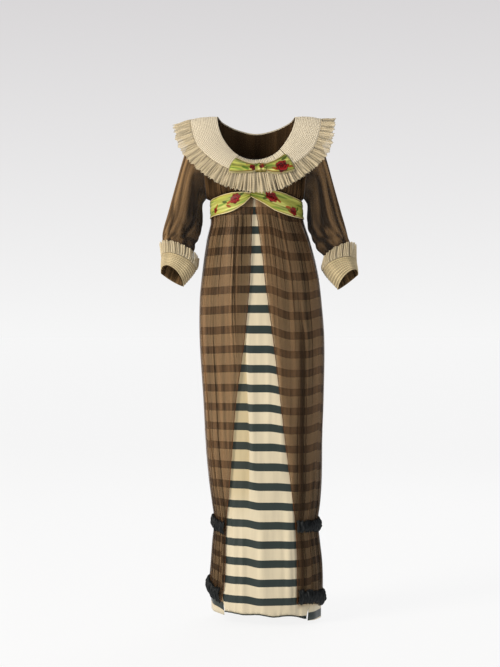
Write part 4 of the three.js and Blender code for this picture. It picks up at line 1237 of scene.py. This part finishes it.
# %% Arm rings
# outer point across and up, inner point across and up, depth, forward, rise of the front
ARM = [(148, -24, 131, -213, 63, 0, 0), (178, -64, 140, -224, 61, 0, 0),
       (194, -112, 142, -238, 58, -1, 0), (207, -160, 142, -252, 54, -3, 0),
       (221, -215, 143, -272, 50, -6, 2), (232, -260, 147, -294, 46, -10, 6),
       (243, -300, 155, -318, 43, -15, 10)]
WRIST = {
    1: [(252, -330, 168, -345, 39, -20, 12), (258, -352, 194, -380, 34, -25, 16),
        (262, -380, 206, -408, 28, -30, 18)],
    -1: [(247, -325, 163, -342, 39, -20, 12), (243, -350, 176, -378, 34, -25, 16),
         (240, -378, 184, -402, 28, -30, 20)]}
CUFF = {
    1: [(276, -418, 222, -458, 29, -36, 26), (272, -384, 181, -408, 42, -30, 22),
        (271, -341, 184, -376, 50, -22, 20)],
    -1: [(252, -414, 192, -449, 29, -36, 33), (251, -371, 157, -405, 42, -30, 22),
         (254, -335, 152, -374, 50, -22, 20)]}


def arm_point(rows, place_on_arm, angle, side, out=0.0):
    """The rows read at a place along the arm give an ellipse: its centre, plus half the way from
    inner to outer point times the cosine, plus the forward reach times the sine. The front rises
    and the back stays nearly level. out moves the point along the line from the centre."""
    rows = np.asarray(rows, float)
    place_on_arm, angle, out = np.broadcast_arrays(place_on_arm, angle, out)
    read = [read_table(np.arange(len(rows)), rows[:, k], place_on_arm) for k in range(7)]
    out_x, out_z, in_x, in_z, depth, forward, rise = read
    turn = np.radians(angle)
    centre = np.stack([side * (out_x + in_x) / 2, forward, (out_z + in_z) / 2], -1)
    across = np.stack([side * (out_x - in_x) / 2, 0 * depth, (out_z - in_z) / 2], -1)
    level = mix(0.15, 1.0, smooth(-0.5, 0.5, np.sin(turn)))
    front = np.stack([0 * depth, -depth, rise * level], -1)
    reach = across * np.cos(turn)[..., None] + front * np.sin(turn)[..., None]
    return centre + reach + unit(reach) * out[..., None], centre


print("the upper arm is", round(np.hypot(178 - 140, 224 - 64)), "mm across")

# %% [markdown]
# ## Sleeves
# The sleeves are cut in one with the bodice and hang in slanting folds from the shoulder to the
# crook of the arm, with a few puffs where the cuff holds them up. A simulated arm would have to be
# posed and cleaned up. A table of slanting ridges puts each main fold in its place, and sines of
# the angle add the small wrinkles between.

# %% Sleeves
# place along the sleeve from and to, angle at both, half-width in degrees, height
ARM_FOLDS = {
    -1: [(0.16, 0.46, 98, 106, 9, -3.4), (0.50, 0.80, 86, 134, 10, -3.8), (0.44, 0.80, 38, 62, 9, -4.2),
         (0.76, 1.0, 56, 142, 12, -3.6), (0.70, 0.88, 60, 142, 10, 3.2), (0.20, 0.74, 78, 98, 9, 5.0),
         (0.06, 0.92, 46, 38, 11, 2.0), (0.28, 0.60, 142, 150, 12, -3.4),
         (0.54, 0.62, 168, 172, 26, 6), (0.68, 0.71, 166, 166, 24, -3), (0.78, 0.83, 168, 168, 24, 5)],
    1: [(0.20, 0.52, 82, 92, 9, -3.2), (0.46, 0.80, 100, 130, 11, -3.6), (0.30, 0.76, 52, 48, 8, -3.4),
        (0.74, 1.0, 62, 142, 12, -3.4), (0.66, 0.86, 50, 138, 10, 3.2), (0.14, 0.70, 68, 76, 9, 3.6),
        (0.34, 0.66, 146, 150, 12, -3.2), (0.08, 0.40, 118, 110, 9, 2.0),
        (0.48, 0.56, 170, 170, 26, 4), (0.68, 0.73, 168, 166, 24, 5), (0.84, 0.87, 166, 166, 22, 4)]}
# place along the sleeve, half-width and height of the puffs above the cuff and the dips between
PUFFS = [(0.80, 0.025, 3.8), (0.72, 0.025, 3.2), (0.76, 0.016, -2.2), (0.62, 0.03, 2.4),
         (0.67, 0.018, -1.8)]


def arm_folds(side, far, turn):
    """Creases and ridges of the sleeve: bell curves round the arm whose angle moves as they go
    down it, so that they run slantwise, each fading out at its two ends."""
    out = 0
    for start, end, first, last, width, height in ARM_FOLDS[side]:
        middle = mix(first, last, np.clip((far - start) / (end - start), 0, 1))
        fade = smooth(start - 0.07, start + 0.07, far) * (1 - smooth(end - 0.07, end + 0.07, far))
        out = out + height * ridge(turn, middle, width) * fade
    return out


def build_sleeve(name, side):
    """Wrinkles along the sleeve are sines of the angle that turn slowly down the arm; puffs
    across it are ridges at three heights above the cuff. With the listed slanting folds
    they fade at the seam and the cuff, where the sleeve is drawn 2.35 mm in. The tone is painted
    light and shade: dark in the valleys and a little towards the cuff, dark on the inner side and
    a painted highlight down the outer side, brightest on the right sleeve, which faces the lamp."""
    rows = ARM + WRIST[side] + [CUFF[side][0]]
    rings, columns = 76, 150
    turns = np.linspace(0, 360, columns, endpoint=False)
    far, turn = np.meshgrid(np.linspace(0, 1, rings), turns, indexing="ij")
    along, round_arm = far * (len(rows) - 1), np.radians(turn)
    swell = 1.5 * np.sin(np.pi * far) * (1 + np.cos(round_arm * 5 + along))
    bend = round_arm + 0.9 * far + 0.25 * np.sin(9 * far)
    wrinkle = 1.5 * np.sin(bend * 5 + side + 2 * far) + 1.5 * np.sin(bend * 11 + 5 * far + 1) + 0.8 * (
        np.sin(bend * 19 - 5 * far) + 0.6 * np.sin(bend * 31 + 6 * far))
    wrinkle = wrinkle * (0.75 + 0.25 * np.sin(7 * far + round_arm * 2))
    sag = sum(height * ridge(far, middle, width) for middle, width, height in PUFFS)
    sag = sag * (0.5 + 0.5 * np.cos(round_arm - (3.0 if side > 0 else 2.6)))
    creases = arm_folds(side, far, turn)
    fade = np.sin(np.pi * np.clip(far, 0, 1)) ** 0.5
    tight = -2.35 * smooth(0.88, 1, far)
    out = (swell + wrinkle + sag + creases) * fade + tight
    points, centre = arm_point(rows, along, turn, side, out)
    points[..., 0] += side * 0.45 * (1 - smooth(0, 0.05, far))
    # painted light and shade: a highlight down the outer side, brighter on the right sleeve, which
    # faces the large lamp, and shade on the inner side, in the valleys and towards the cuff
    outer = mix(0.31, 1.10 if side < 0 else 1.0, smooth(-1.0, 0.55, np.cos(round_arm + 0.55)))
    valley = mix(0.22, 1.5, smooth(-3.4, 3.2, wrinkle * 1.1 + 0.8 * sag + 1.1 * creases))
    paint = grey_paint(outer * valley * mix(0.85, 1, smooth(0.9, 0.5, far)))
    uv = flat_uv(np.linspace(0, 340, columns + 1), np.linspace(0, 460, rings))
    return cloth(name, points, points - centre, uv, sleeve_chiffon, 0.5, closed=True, paint=paint)


for name, side in SIDES.items():
    place(build_sleeve(f"chiffon_sleeve_{name}", side), "chiffon", f"sleeve_{name}")

# %% [markdown]
# ## Cuffs
# The cuff is a flared linen band turned back over the sleeve's end, with a pleated ruffle on its
# upper edge, and both are slit at the inner side of the wrist. Each could be a straight strip
# bent round by a modifier. Reading them from three rings, like the sleeve, lets the band flare
# and tilt with the arm. The ruffle uses the collar's pleats.

# %% Cuffs
# the angle at one edge of the slit, and how far the cuff goes round from there
CUFF_FROM, CUFF_TURN = 204, 352


def cuff_grid(start, end, columns, rows):
    """Angles round the wrist from one edge of the slit to the other, and shares up the band."""
    turns = np.linspace(CUFF_FROM, CUFF_FROM + CUFF_TURN, columns)
    turn, share = np.meshgrid(turns, np.linspace(0, 1, rows))
    return turn, share, start + share * (end - start)


def cuff_uv(turn, share, length, width):
    """The place on the flat strip, whose length and width are in metres."""
    return np.stack([(turn - CUFF_FROM) / CUFF_TURN * length, share * width], -1)


def build_cuff_band(name, side):
    """The band swells a little in the middle and carries narrow ribs that follow its edges."""
    turn, share, along = cuff_grid(0, 0.992, 100, 40)
    ribs = 0.8 * np.sin(share * 2 * np.pi * 8 + 0.4 * np.sin(np.radians(turn) * 3))
    dents = 0.5 * np.sin(np.radians(turn) * 6) + 0.3 * np.sin(np.radians(turn) * 11 + 2 * share)
    out = ribs + (0.6 + dents) * np.sin(np.pi * share)
    points, centre = arm_point(CUFF[side], along, turn, side, out)
    # painted shade in the hollows between the ribs and dents, lighter on their crests
    paint = grey_paint(0.58 + 0.42 * smooth(-0.8, 0.9, ribs + 0.6 * dents))
    return cloth(name, points, points - centre, cuff_uv(turn, share, 0.24, 0.045), shaded_ribbed_linen,
                 0.9, paint=paint)


def build_cuff_ruffle(name, side):
    """Narrow pleats that open towards the free edge, which is also ragged by 1 mm."""
    turn, share, along = cuff_grid(1.008, 2, 560, 12)
    length = np.radians(turn[0] - CUFF_FROM) * 45 + 1e-6
    shifted = np.clip(length[None] + 1.5 * np.sin(length / 9)[None] * share, 0, length[-1])
    fine = uneven_pleats(shifted, 46, 20 + side, 1.0)
    wide = uneven_pleats(shifted, 19, 23 + side, 1.0)
    flare = 5 * ridge(turn, 215, 22) * share + 3 * ridge(turn, 300, 30) * share
    out = fine * mix(1.4, 1.7, share) + wide * mix(0.3, 2.0, share) + flare
    ragged = (0.05 * uneven_pleats(length, 44, 30 + side)[None] + 0.03 * wide) * smooth(0.5, 1, share)
    points, centre = arm_point(CUFF[side], np.clip(along + ragged, 1, 1.99), turn, side, out)
    paint = grey_paint(pleat_tone(fine, wide))
    return cloth(name, points, points - centre, cuff_uv(turn, share, 0.42, 0.04), ruffle_linen,
                 0.6, paint=paint)


cuff_bands, cuff_ruffles = {}, {}
for name, side in SIDES.items():
    band, ruffle = f"cuff_band_{name}", f"cuff_pleated_ruffle_{name}"
    cuff_bands[name] = place(build_cuff_band(band, side), "linen", f"cuff_linen_{name}")
    cuff_ruffles[name] = place(build_cuff_ruffle(ruffle, side), "pleated_linen", f"cuff_ruffle_{name}")
print("cuff ruffle", len(cuff_ruffles["left"].data.polygons), "cells")

# %% [markdown]
# ## Edges of the bodice
# The bodice is cut in one with the sleeves' tops. It is tucked flat under the belt, goes up over
# the bust to the neckline and meets each sleeve in a wide ring. It could be sculpted by hand, but
# then each seam would have to be closed by eye. Here the belt's edge, the neckline with the
# shoulder and the sleeve's ring are worked out first, so that the cloth meets each exactly.

# %% Edges of the bodice
# angle, height of the belt's middle line and half its width there, for each half
BELT = {
    -1: np.array([(-180, -243, 21), (-90, -244, 22), (-60, -238, 24), (-31, -229, 25),
                  (-14, -219, 17), (-5.4, -211, 6)], float),
    1: np.array([(-5, -208, 7), (6, -215, 17), (22, -226, 27), (50, -240, 27), (90, -246, 22),
                 (180, -243, 21)], float)}
TUCKED, ARMHOLE = 0.1, 0.16
NECK_SHARE = 0.62


def belt_top(angle):
    """The height of the belt's upper edge: its middle plus half its width."""
    right = read_table(BELT[-1][:, 0], BELT[-1][:, 1] + BELT[-1][:, 2], angle)
    left = read_table(BELT[1][:, 0], BELT[1][:, 1] + BELT[1][:, 2], angle)
    return np.where(angle > -5, left, right)


def tucked_point(angle, share):
    """Flat under the belt, from the waist seam up to 1.5 mm above the belt's edge."""
    turn = np.where(angle > 180, angle - 360, angle)
    z = mix(waist_z(turn) + 0.45, belt_top(turn) + 1.5, share)
    return skirt_point(turn, z, 0.5)


def bodice_side(face, side, v):
    """The side edge: up the side seam to the armhole, then half-way round the sleeve's ring."""
    seam = tucked_point(side * 90.0, v / TUCKED)
    upper = (v - TUCKED) / (ARMHOLE - TUCKED)
    low_ring, _ = arm_point(ARM, 0.0, 180.0, side)
    gusset = mix(tucked_point(side * 90.0, 1.0), low_ring, np.clip(upper, 0, 1)[..., None])
    turn = mix(180.0, 0.0, np.clip((v - ARMHOLE) / (1 - ARMHOLE), 0, 1))
    ring, _ = arm_point(ARM, 0.0, turn if face > 0 else -turn, side)
    below = np.where((v <= TUCKED)[..., None], seam, gusset)
    return np.where((v < ARMHOLE)[..., None], below, ring)


def neck_point(face, share):
    """The neckline, tucked half a mm under the collar's edge and 2.6 mm below it."""
    angle = share * 90 if face > 0 else 180 - share * 90
    point = collar_point(angle, np.zeros_like(share))
    centre = np.stack([np.full_like(share, 3.5), 0 * share, point[..., 2]], -1)
    return point - unit(centre - point) * 0.5 + np.array([0, 0, -2.6])


def bodice_top(face, side, u):
    """The top edge: the neckline across the middle, then straight to the shoulder point."""
    share = np.abs(u) / NECK_SHARE
    neck = neck_point(face, np.clip(u / NECK_SHARE, -1, 1))
    shoulder, _ = arm_point(ARM, 0.0, 0.0, side)
    t = np.clip((share - 1) / (1 / NECK_SHARE - 1), 0, 1)
    return mix(neck, shoulder, t[..., None])


print("the belt's top edge in front and behind", belt_top(np.array([10.0, 180.0])).round(1))

# %% [markdown]
# ## Bodice
# The chiffon is double here, over a dark lining, and gathered into the belt in fine pleats, over
# which it blouses. A subdivided box could be pulled into this shape. Spinning a surface between
# the four edges is shorter, and its two parameters serve for the gathers and the UV as well.

# %% Bodice
BUST = 17


def bodice_point(face, side, u, v):
    """A straight blend from belt to top edge, plus the miss at the side edge times |u| to 3.2,
    plus the bust's fullness and the pouch over the belt, both forward or back."""
    angle = u * 90 if face > 0 else 180 - u * 90
    w = (v - TUCKED) / (1 - TUCKED)
    edge = np.full_like(v, side)
    miss = bodice_side(face, side, v) - mix(bodice_side(face, side, np.full_like(v, TUCKED)),
                                            bodice_top(face, side, edge), w[..., None])
    point = mix(tucked_point(angle, 1.0), bodice_top(face, side, u), w[..., None])
    point = point + miss * (np.abs(u) ** 3.2)[..., None]
    breast = BUST + BUST * np.sin(np.pi * np.abs(u)) ** 2
    fullness = breast if face > 0 else BUST * 0.8
    pouch = 9 * ridge(w, 0.12, 0.1) * smooth(0, 0.05, w)
    rise = np.sin(np.pi * np.clip(w, 0, 1) ** 0.7) ** 1.5
    point[..., 1] -= face * (fullness * rise + pouch) * (1 - u**4)
    flat = tucked_point(angle, v / TUCKED)
    return np.where((v <= TUCKED)[..., None], flat, point)


def build_bodice(name, face):
    """Both halves of one face on one grid. Fine gathers rise from the belt and fade upwards."""
    columns = 181 if face > 0 else 121
    u, v = np.meshgrid(np.linspace(-1, 1, columns), np.linspace(0, 1, 58) ** 1.15)
    right, left = bodice_point(face, -1, u, v), bodice_point(face, 1, u, v)
    points = np.where((u < 0)[..., None], right, left)
    points[..., 1] -= face * 0.22
    rng = np.random.default_rng(40 + face)
    gathers = 0
    for middle in np.linspace(-0.95, 0.95, 38) + rng.uniform(-0.02, 0.02, 38):
        reach = rng.uniform(0.3, 0.95)
        fade = smooth(TUCKED, TUCKED + 0.04, v) * (1 - smooth(0.15, reach, v))
        lean = u - (0.10 if face > 0 else 0.04) * np.sign(u) * v
        gathers = gathers + rng.uniform(0.8, 2.2) * ridge(lean, middle, 0.013) * fade
    folds = 1.8 * np.sin(np.abs(u) * 16 - 5 * v) * smooth(0.15, 0.5, v) * smooth(0.3, 0.6, np.abs(u))
    points[..., 1] -= face * (gathers + folds) * (1 - u**6)
    middle = np.stack([0 * u + 4, 0 * u, points[..., 2]], -1)
    uv = np.stack([u * 0.19, v * 0.24], -1)
    # painted shade in the valleys of the gathers and folds, lighter on their crests
    paint = grey_paint(0.27 + 0.70 * smooth(-1.2, 2.2, gathers + folds))
    return cloth(name, points, points - middle, uv, lined_chiffon, 0.5, paint=paint)


bodice_front = place(build_bodice("chiffon_bodice_front", 1), "chiffon", "bodice_front")
bodice_back = place(build_bodice("chiffon_bodice_back", -1), "chiffon", "bodice_back")
print("bodice", len(bodice_front.data.polygons), "cells each")

# %% [markdown]
# ## Roses on the ribbon
# The ribbon's ground is lime green with long lighter and darker threads. Cream and orange-brown
# lines run along both edges. Small red roses, buds and leaves are laid on it one by one. A rose
# is a disc whose petals come from a spiral: the sine of the distance from its middle plus the
# angle round it. A painted picture would look the same, but a formula stays sharp at any size.
# Each flower is generic and was laid out for this dress.

# %% Ribbon print
PRINT = {name: np.array(linear(code)[:3]) for name, code in {
    "ground": "#B6B854", "light": "#E0DC86", "green": "#5F8A2C", "cream": "#E8D9A4",
    "brown": "#8A4C1C", "red": "#860C10", "bright": "#B22017", "deep": "#330506",
    "dark": "#1D0405", "leaf": "#43611F", "rust": "#A04C16"}.items()}


def painted(ground, colour, share):
    """One colour laid over another where share is 1."""
    return ground + (PRINT[colour] - ground) * np.clip(share, 0, 1)[..., None]


def ribbon_print(a, b, half, roses, leaves):
    """a runs along the ribbon and b across it, in mm from the middle. half is half its width.
    Each rose is (a, b, radius): a notched disc with a spiral of dark and bright petals round a
    dark middle. Each leaf is (a, b, length, tilt in degrees, colour)."""
    paint = np.broadcast_to(PRINT["ground"], a.shape + (3,)).copy()
    threads = 0.5 + 0.5 * np.sin(b / 1.3 + 1.2 * np.sin(a / 37 + b / 5))
    paint = painted(paint, "light", 0.7 * threads * smooth(-0.4, 1, np.sin(a / 23 + b / 9)))
    strands = smooth(0.0, 0.8, np.sin(a / 15 - b / 5 + 1.1)) * (1 - threads)
    paint = painted(paint, "green", 0.85 * strands)
    from_edge = half - np.abs(b)
    paint = painted(paint, "cream", 1 - smooth(1.6, 2.1, from_edge))
    paint = painted(paint, "brown", ridge(from_edge, 3.1, 0.75))
    for a0, b0, length, tilt, colour in leaves:
        turn = np.radians(tilt)
        along = (a - a0) * np.cos(turn) + (b - b0) * np.sin(turn)
        off = -(a - a0) * np.sin(turn) + (b - b0) * np.cos(turn)
        inside = (along / length) ** 2 + (off / (0.42 * length)) ** 2
        paint = painted(paint, colour, 1 - smooth(0.75, 1.1, inside))
        paint = painted(paint, "brown", 0.6 * ridge(off, 0, 0.5) * (inside < 0.8))
    for a0, b0, radius in roses:
        away = np.hypot(a - a0, b - b0) / radius
        turn = np.arctan2(b - b0, a - a0)
        rim = 1 + 0.10 * np.cos(7 * turn + a0)
        inside = 1 - smooth(rim - 0.08, rim + 0.05, away)
        spiral = np.sin(away * 15 + 2 * turn + 0.9 * np.sin(5 * turn + a0))
        paint = painted(paint, "deep", 1 - smooth(rim, rim + 0.14, away))
        paint = painted(paint, "red", inside)
        paint = painted(paint, "bright", 0.8 * inside * smooth(0.1, 0.8, spiral))
        paint = painted(paint, "deep", 0.9 * inside * smooth(0.2, 0.9, -spiral))
        paint = painted(paint, "dark", 0.9 * ridge(away, 0, 0.25))
    return np.concatenate([paint, np.ones(a.shape + (1,))], -1)


print("rose red in linear light", PRINT["red"].round(3))

# %% [markdown]
# ## Belt
# Two halves of the ribbon wrap round under the bust and meet in front in an inverted V, where
# each is drawn together in crisp lengthwise folds. A ribbon could be swept along a curve, but
# this one gets narrower in front and wider at the sides. So it is a grid round the skirt's own
# section, 7 mm off it, over the edges of bodice and tunic.

# %% Belt
BELT_OUT = 6.6
# along, across and radius of each rose; along, across, length, tilt and colour of each leaf
BELT_FLOWERS = {
    -1: ([(-45, 6, 12), (-112, -11, 7), (-170, 4, 10), (-250, -3, 10), (-330, 4, 9)],
         [(-60, 1, 9, 25, "rust"), (-64, -9, 8, -30, "rust"), (-31, 12, 8, 10, "leaf"),
          (-75, 4, 9, 160, "leaf"), (-104, -2, 7, 60, "rust"), (-155, -8, 9, 20, "leaf"),
          (-186, 8, 9, -20, "rust"), (-236, 7, 9, 30, "leaf"), (-266, -8, 9, 10, "rust")]),
    1: ([(31, 8, 13), (93, -12, 11), (165, 3, 10), (245, -3, 10), (325, 4, 9)],
        [(75, -6, 9, 5, "rust"), (46, 4, 9, -35, "rust"), (18, 0, 8, 40, "leaf"),
         (108, -4, 8, 60, "leaf"), (80, -16, 8, -30, "rust"), (150, -8, 9, 20, "leaf"),
         (181, 8, 9, -20, "rust"), (231, 7, 9, 30, "leaf"), (261, -8, 9, 10, "rust")])}


def build_belt(name, side):
    """A point of the belt is the skirt's section at the height of its middle line plus s times
    its half-width, 6.6 mm out, with folds that are sines of s and die out away from the front."""
    table = BELT[side]
    s, t = np.meshgrid(np.linspace(-1, 1, 44), np.linspace(0, 1, 260), indexing="ij")
    first = table[0, 0] + (0.06 if side < 0 else 0)
    last = table[-1, 0] - (0.06 if side > 0 else 0)
    angle = mix(first, last, t**1.25 if side > 0 else 1 - (1 - t) ** 1.25)
    half = read_table(table[:, 0], table[:, 2], angle)
    z = read_table(table[:, 0], table[:, 1], angle) + s * half
    near = 1 - smooth(5, 75, np.abs(angle))
    folds = np.sin(s * 7.5 + 0.5 + np.abs(angle) / 40) * mix(0.5, 1.7, near)
    folds = folds + 0.6 * np.sin(s * 13 + np.abs(angle) / 13) * mix(0.5, 1.2, near)
    rolled = 0.5 * ridge(np.abs(s), 1, 0.12)
    points = skirt_point(angle, z, BELT_OUT + 0.8 * (1 - s**2) + folds + rolled)
    a = np.radians(angle) * 108
    roses, leaves = BELT_FLOWERS[side]
    paint = ribbon_print(a, s * half, half, roses, leaves)
    # painted shade in the hollows of the folds and a little painted light on their crests
    paint[..., :3] *= (0.80 + 0.26 * smooth(-1.6, 1.2, folds))[..., None]
    uv = np.stack([a, s * half], -1) * MM
    return cloth(name, points, from_axis(points), uv, ribbon, 0.7, paint=paint)


for name, side in SIDES.items():
    place(build_belt(f"ribbon_belt_{name}", side), "ribbon", f"belt_{name}")

# %% [markdown]
# ## Loops of the bow
# The bow lies on the collar's front. A loop is one length of ribbon that goes out from the knot,
# turns at its end and comes back behind. It could be tied in a simulation, or bent from a strip.
# A flat closed ring that runs from knot to tip and back is simpler and lies on the collar by
# itself, because each of its points is a point of the collar lifted off. Creases fan out from
# the knot.

# %% Loops of the bow
# ends: angles of knot and tip. low, high: the ribbon's edges as shares of the collar, at both
BOW_LOOPS = {
    "right": {"ends": (-3, -25.5), "low": (0.52, 0.30), "high": (1.02, 1.24),
              "roses": [(-5, 2, 8)], "leaves": [(-24, 6, 11, 25, "green"), (-17, -6, 7, -20, "rust")]},
    "left": {"ends": (9, 36), "low": (0.51, 0.40), "high": (1.05, 1.42),
             "roses": [(37, 5, 13)], "leaves": [(20, 8, 8, 30, "rust"), (51, 12, 8, 30, "rust"),
                                                (48, -13, 8, -25, "leaf")]}}


def there_and_back(rows, front, back):
    """The grid of a flat ring: shares across it, shares along it that run out on the front layer
    and back on the other, and whether each point lies on the front layer."""
    path = np.r_[np.linspace(0, 1, front), np.linspace(1, 0, back)]
    s, t = np.meshgrid(np.linspace(0, 1, rows), path, indexing="ij")
    return s, t, np.broadcast_to(np.arange(front + back) < front, s.shape)


def build_loop(name, loop):
    """Share t goes from the knot to the tip on the front layer and back on the other. The front
    layer stands 7 mm off the collar and bellies out by 3.5 mm; the creases are sines of the
    share across that keep their count from knot to tip, so they fan out."""
    start, end = loop["ends"]
    s, t, in_front = there_and_back(44, 70, 30)
    low, high = mix(loop["low"][0], loop["low"][1], t), mix(loop["high"][0], loop["high"][1], t)
    belly = 3.5 * np.sin(np.pi * t) * np.sin(np.pi * s)
    creases = (2.6 * np.cos(s * 15 + 0.6 + t) + 1.6 * np.cos(s * 29 + 1.0)) * (1 - 0.35 * t)
    creases = creases * smooth(0, 0.06, t) * (1 - smooth(0.9, 1.0, t)) * np.sin(np.pi * s) ** 0.4
    close = 1 - smooth(0.94, 1.0, t)
    lifted = 2 + (5 + belly + creases) * mix(0.55, 1, close)
    out = np.where(in_front, lifted, 2 + 0.8 * (1 - close))
    bulge = 0.045 * np.sin(np.pi * s) * ridge(t, 1, 0.12)
    points = collar_point(mix(start, end, t + bulge), mix(low, high, s), out)
    half = mix(12.0, 26.0, t)
    paint = ribbon_print(t * 58 * np.sign(end), (s * 2 - 1) * half, half, loop["roses"],
                         loop["leaves"])
    # painted shade in the hollows of the creases, and darker near the knot
    paint[..., :3] *= (0.50 + 0.58 * smooth(-2.2, 2.0, creases) * smooth(-0.1, 0.25, t))[..., None]
    outward = collar_outward(mix(start, end, t)) * np.where(in_front, 1, -1)[..., None]
    uv = flat_uv(np.arange(101) * 1.2, np.linspace(0, 44, 44))
    return cloth(name, points, outward, uv, ribbon, 0.7, closed=True, paint=paint)


for name, loop in BOW_LOOPS.items():
    place(build_loop(f"ribbon_bow_{name}", loop), "ribbon", f"bow_loop_{name}")

# %% [markdown]
# ## Knot of the bow
# The knot is a short length of the same ribbon wrapped over the inner ends of both loops. A
# squashed ball would hide them as well, but a flat ring made like the loops shows the ribbon's
# folds and its flower.

# %% Knot of the bow
KNOT_ENDS = (-2.75, 8.75)


def build_knot():
    """The knot: a ring that covers both loops' inner ends, with soft folds along it."""
    s, t, in_front = there_and_back(34, 34, 16)
    belly = 2 * np.sin(np.pi * s) + 2.2 * np.sin(np.pi * t)
    folds = 1.3 * np.cos(t * 15 + 1.3 * np.sin(3 * s)) * np.sin(np.pi * t)
    out = np.where(in_front, 2 + (5 + belly + folds), 2.0)
    points = collar_point(mix(*KNOT_ENDS, t), mix(0.50, 1.02, s), out)
    a, b = (t - 0.5) * 18, (s - 0.5) * 24
    paint = ribbon_print(a, b, np.full_like(a, 14.0), [(2, 1, 4.5)],
                         [(4, -6, 6, 30, "rust"), (-5, -6, 5, -40, "leaf")])
    # painted shade in the hollows of the folds and at both ends, where the knot turns under
    paint[..., :3] *= (0.55 + 0.45 * smooth(-1.3, 1.0, folds) * np.sin(np.pi * t) ** 0.5)[..., None]
    outward = collar_outward(mix(*KNOT_ENDS, t)) * np.where(in_front, 1, -1)[..., None]
    uv = flat_uv(np.arange(51) * 0.6, np.linspace(0, 24, 34))
    return cloth("ribbon_bow_knot", points, outward, uv, ribbon, 0.7, closed=True, paint=paint)


bow_knot = place(build_knot(), "ribbon", "bow_knot")
print("knot", len(bow_knot.data.polygons), "cells")

# %% [markdown]
# ## Ruched bands
# Two narrow bands of black silk are gathered on both edges and sewn round the tunic, one below
# the knee and one over the hem. The gathers make small uneven puffs. Displacing a tube with noise
# would give bubbles rather than gathers. So a band's profile across is an arch, 1 - s squared,
# and the puffs are added to it with the same uneven pleats as the ruffle.

# %% Bands
def build_band(name, side, low_at, high_at, stand_off, bulge, seed):
    """The tunic's own surface between two heights, lifted by the arch and the puffs."""
    edge = LEFT_EDGE if side > 0 else RIGHT_EDGE
    rough_z = low_at(np.float64(side * 45))
    start = front_angle(section(rough_z, edge), rough_z)
    share, t = np.meshgrid(np.linspace(0, 1, 12), np.linspace(0, 1, 390), indexing="ij")
    angle = mix(start, side * TUNIC_END, t)
    length = np.radians(np.abs(angle[0] - start)) * 145 + 1e-6
    puffs = uneven_pleats(length, 82, seed)[None] * 1.3 + uneven_pleats(length, 31, seed + 1)[None]
    slant = uneven_pleats(length, 45, seed + 2)[None] * np.sin(1.5 * np.pi * (2 * share - 1))
    arch = 1 - (2 * share - 1) ** 2
    swell = bulge * arch + 1.3 * (1.2 + puffs) * arch**0.4 + 1.8 * slant
    frill = uneven_pleats(length, 105, seed + 3)[None] * (2 * share - 1) ** 4
    wander = 1.8 * np.sin(length / 7 + 2 * np.sin(length / 31))[None] + 1.2 * puffs + 2.2 * frill
    z = mix(low_at(angle), high_at(angle), share) + wander * (2 * share - 1)
    points = skirt_point(angle, z, tunic_relief(angle, z) + stand_off + swell)
    uv = np.stack(np.broadcast_arrays(length[None] * 1.6, share * 44), -1) * MM
    return cloth(name, points, from_axis(points), uv, ruched, 0.6)


for name, side in SIDES.items():
    place(build_band(
        f"ruched_band_upper_{name}", side, lambda a: upper_middle(a) - 14,
        lambda a: upper_middle(a) + 14, 2.8, 3.5, 60 + side), "ruched_silk", f"band_upper_{name}")
    place(build_band(
        f"ruched_band_hem_{name}", side, lambda a: hem_z(a) + 2, lambda a: hem_z(a) + 36,
        2.1, 5.0, 70 + side), "ruched_silk", f"band_hem_{name}")

# %% [markdown]
# ## Rolled edges and seams
# Chiffon frays, so its free edges are rolled into a thin cord and sewn by hand. A cord along each
# front edge catches the light. A corded seam joins the linen collar to its ruffle. Both could be
# left to the cloth's own thickness, but half a millimetre is too thin to be seen from here.

# %% Rolled edges
chiffon_roll = chiffon_material("brown silk chiffon, rolled", "#7E4E2C", "#4C2E1A", 0.05)


def tunic_edge_path(side):
    """The tunic's front edge, from just under the belt to the hem, in 240 points."""
    v = np.linspace(0.03, 0.999, 240)[None]
    angle, z = tunic_grid(side, np.zeros_like(v), v)
    return tunic_point(angle, z)[0]


def build_roll(name, side):
    """A cord 1.6 mm thick along the edge, a little uneven as hand rolling is."""
    path = tunic_edge_path(side)
    along = np.arange(len(path))
    radius = 0.8 + 0.1 * np.sin(along / 3.1) + 0.08 * np.sin(along / 1.3)
    return tube(f"rolled_edge_{name}", path, radius, chiffon_roll)


rolls = {name: place(build_roll(name, side), "chiffon") for name, side in SIDES.items()}
seam_angles, seam_length = even_angles(*COLLAR_ENDS, 1.0, 300)
place(tube("collar_seam_cord", collar_point(seam_angles, 1.0, 0.3), 0.9, linen), "linen")
print("rolled edges", list(rolls), "and a seam of", round(seam_length), "mm")

# %% [markdown]
# ## Cloth sizes
# The sizes could be measured on the finished folds, but those are a little stretched. Each
# sheet follows a flat pattern: the tunic's half, for one, is a strip gathered at the waist, and
# the ruffles are strips nearly twice as long as the seam they are drawn into.

# %% Cloth sizes
print("the dress is built")
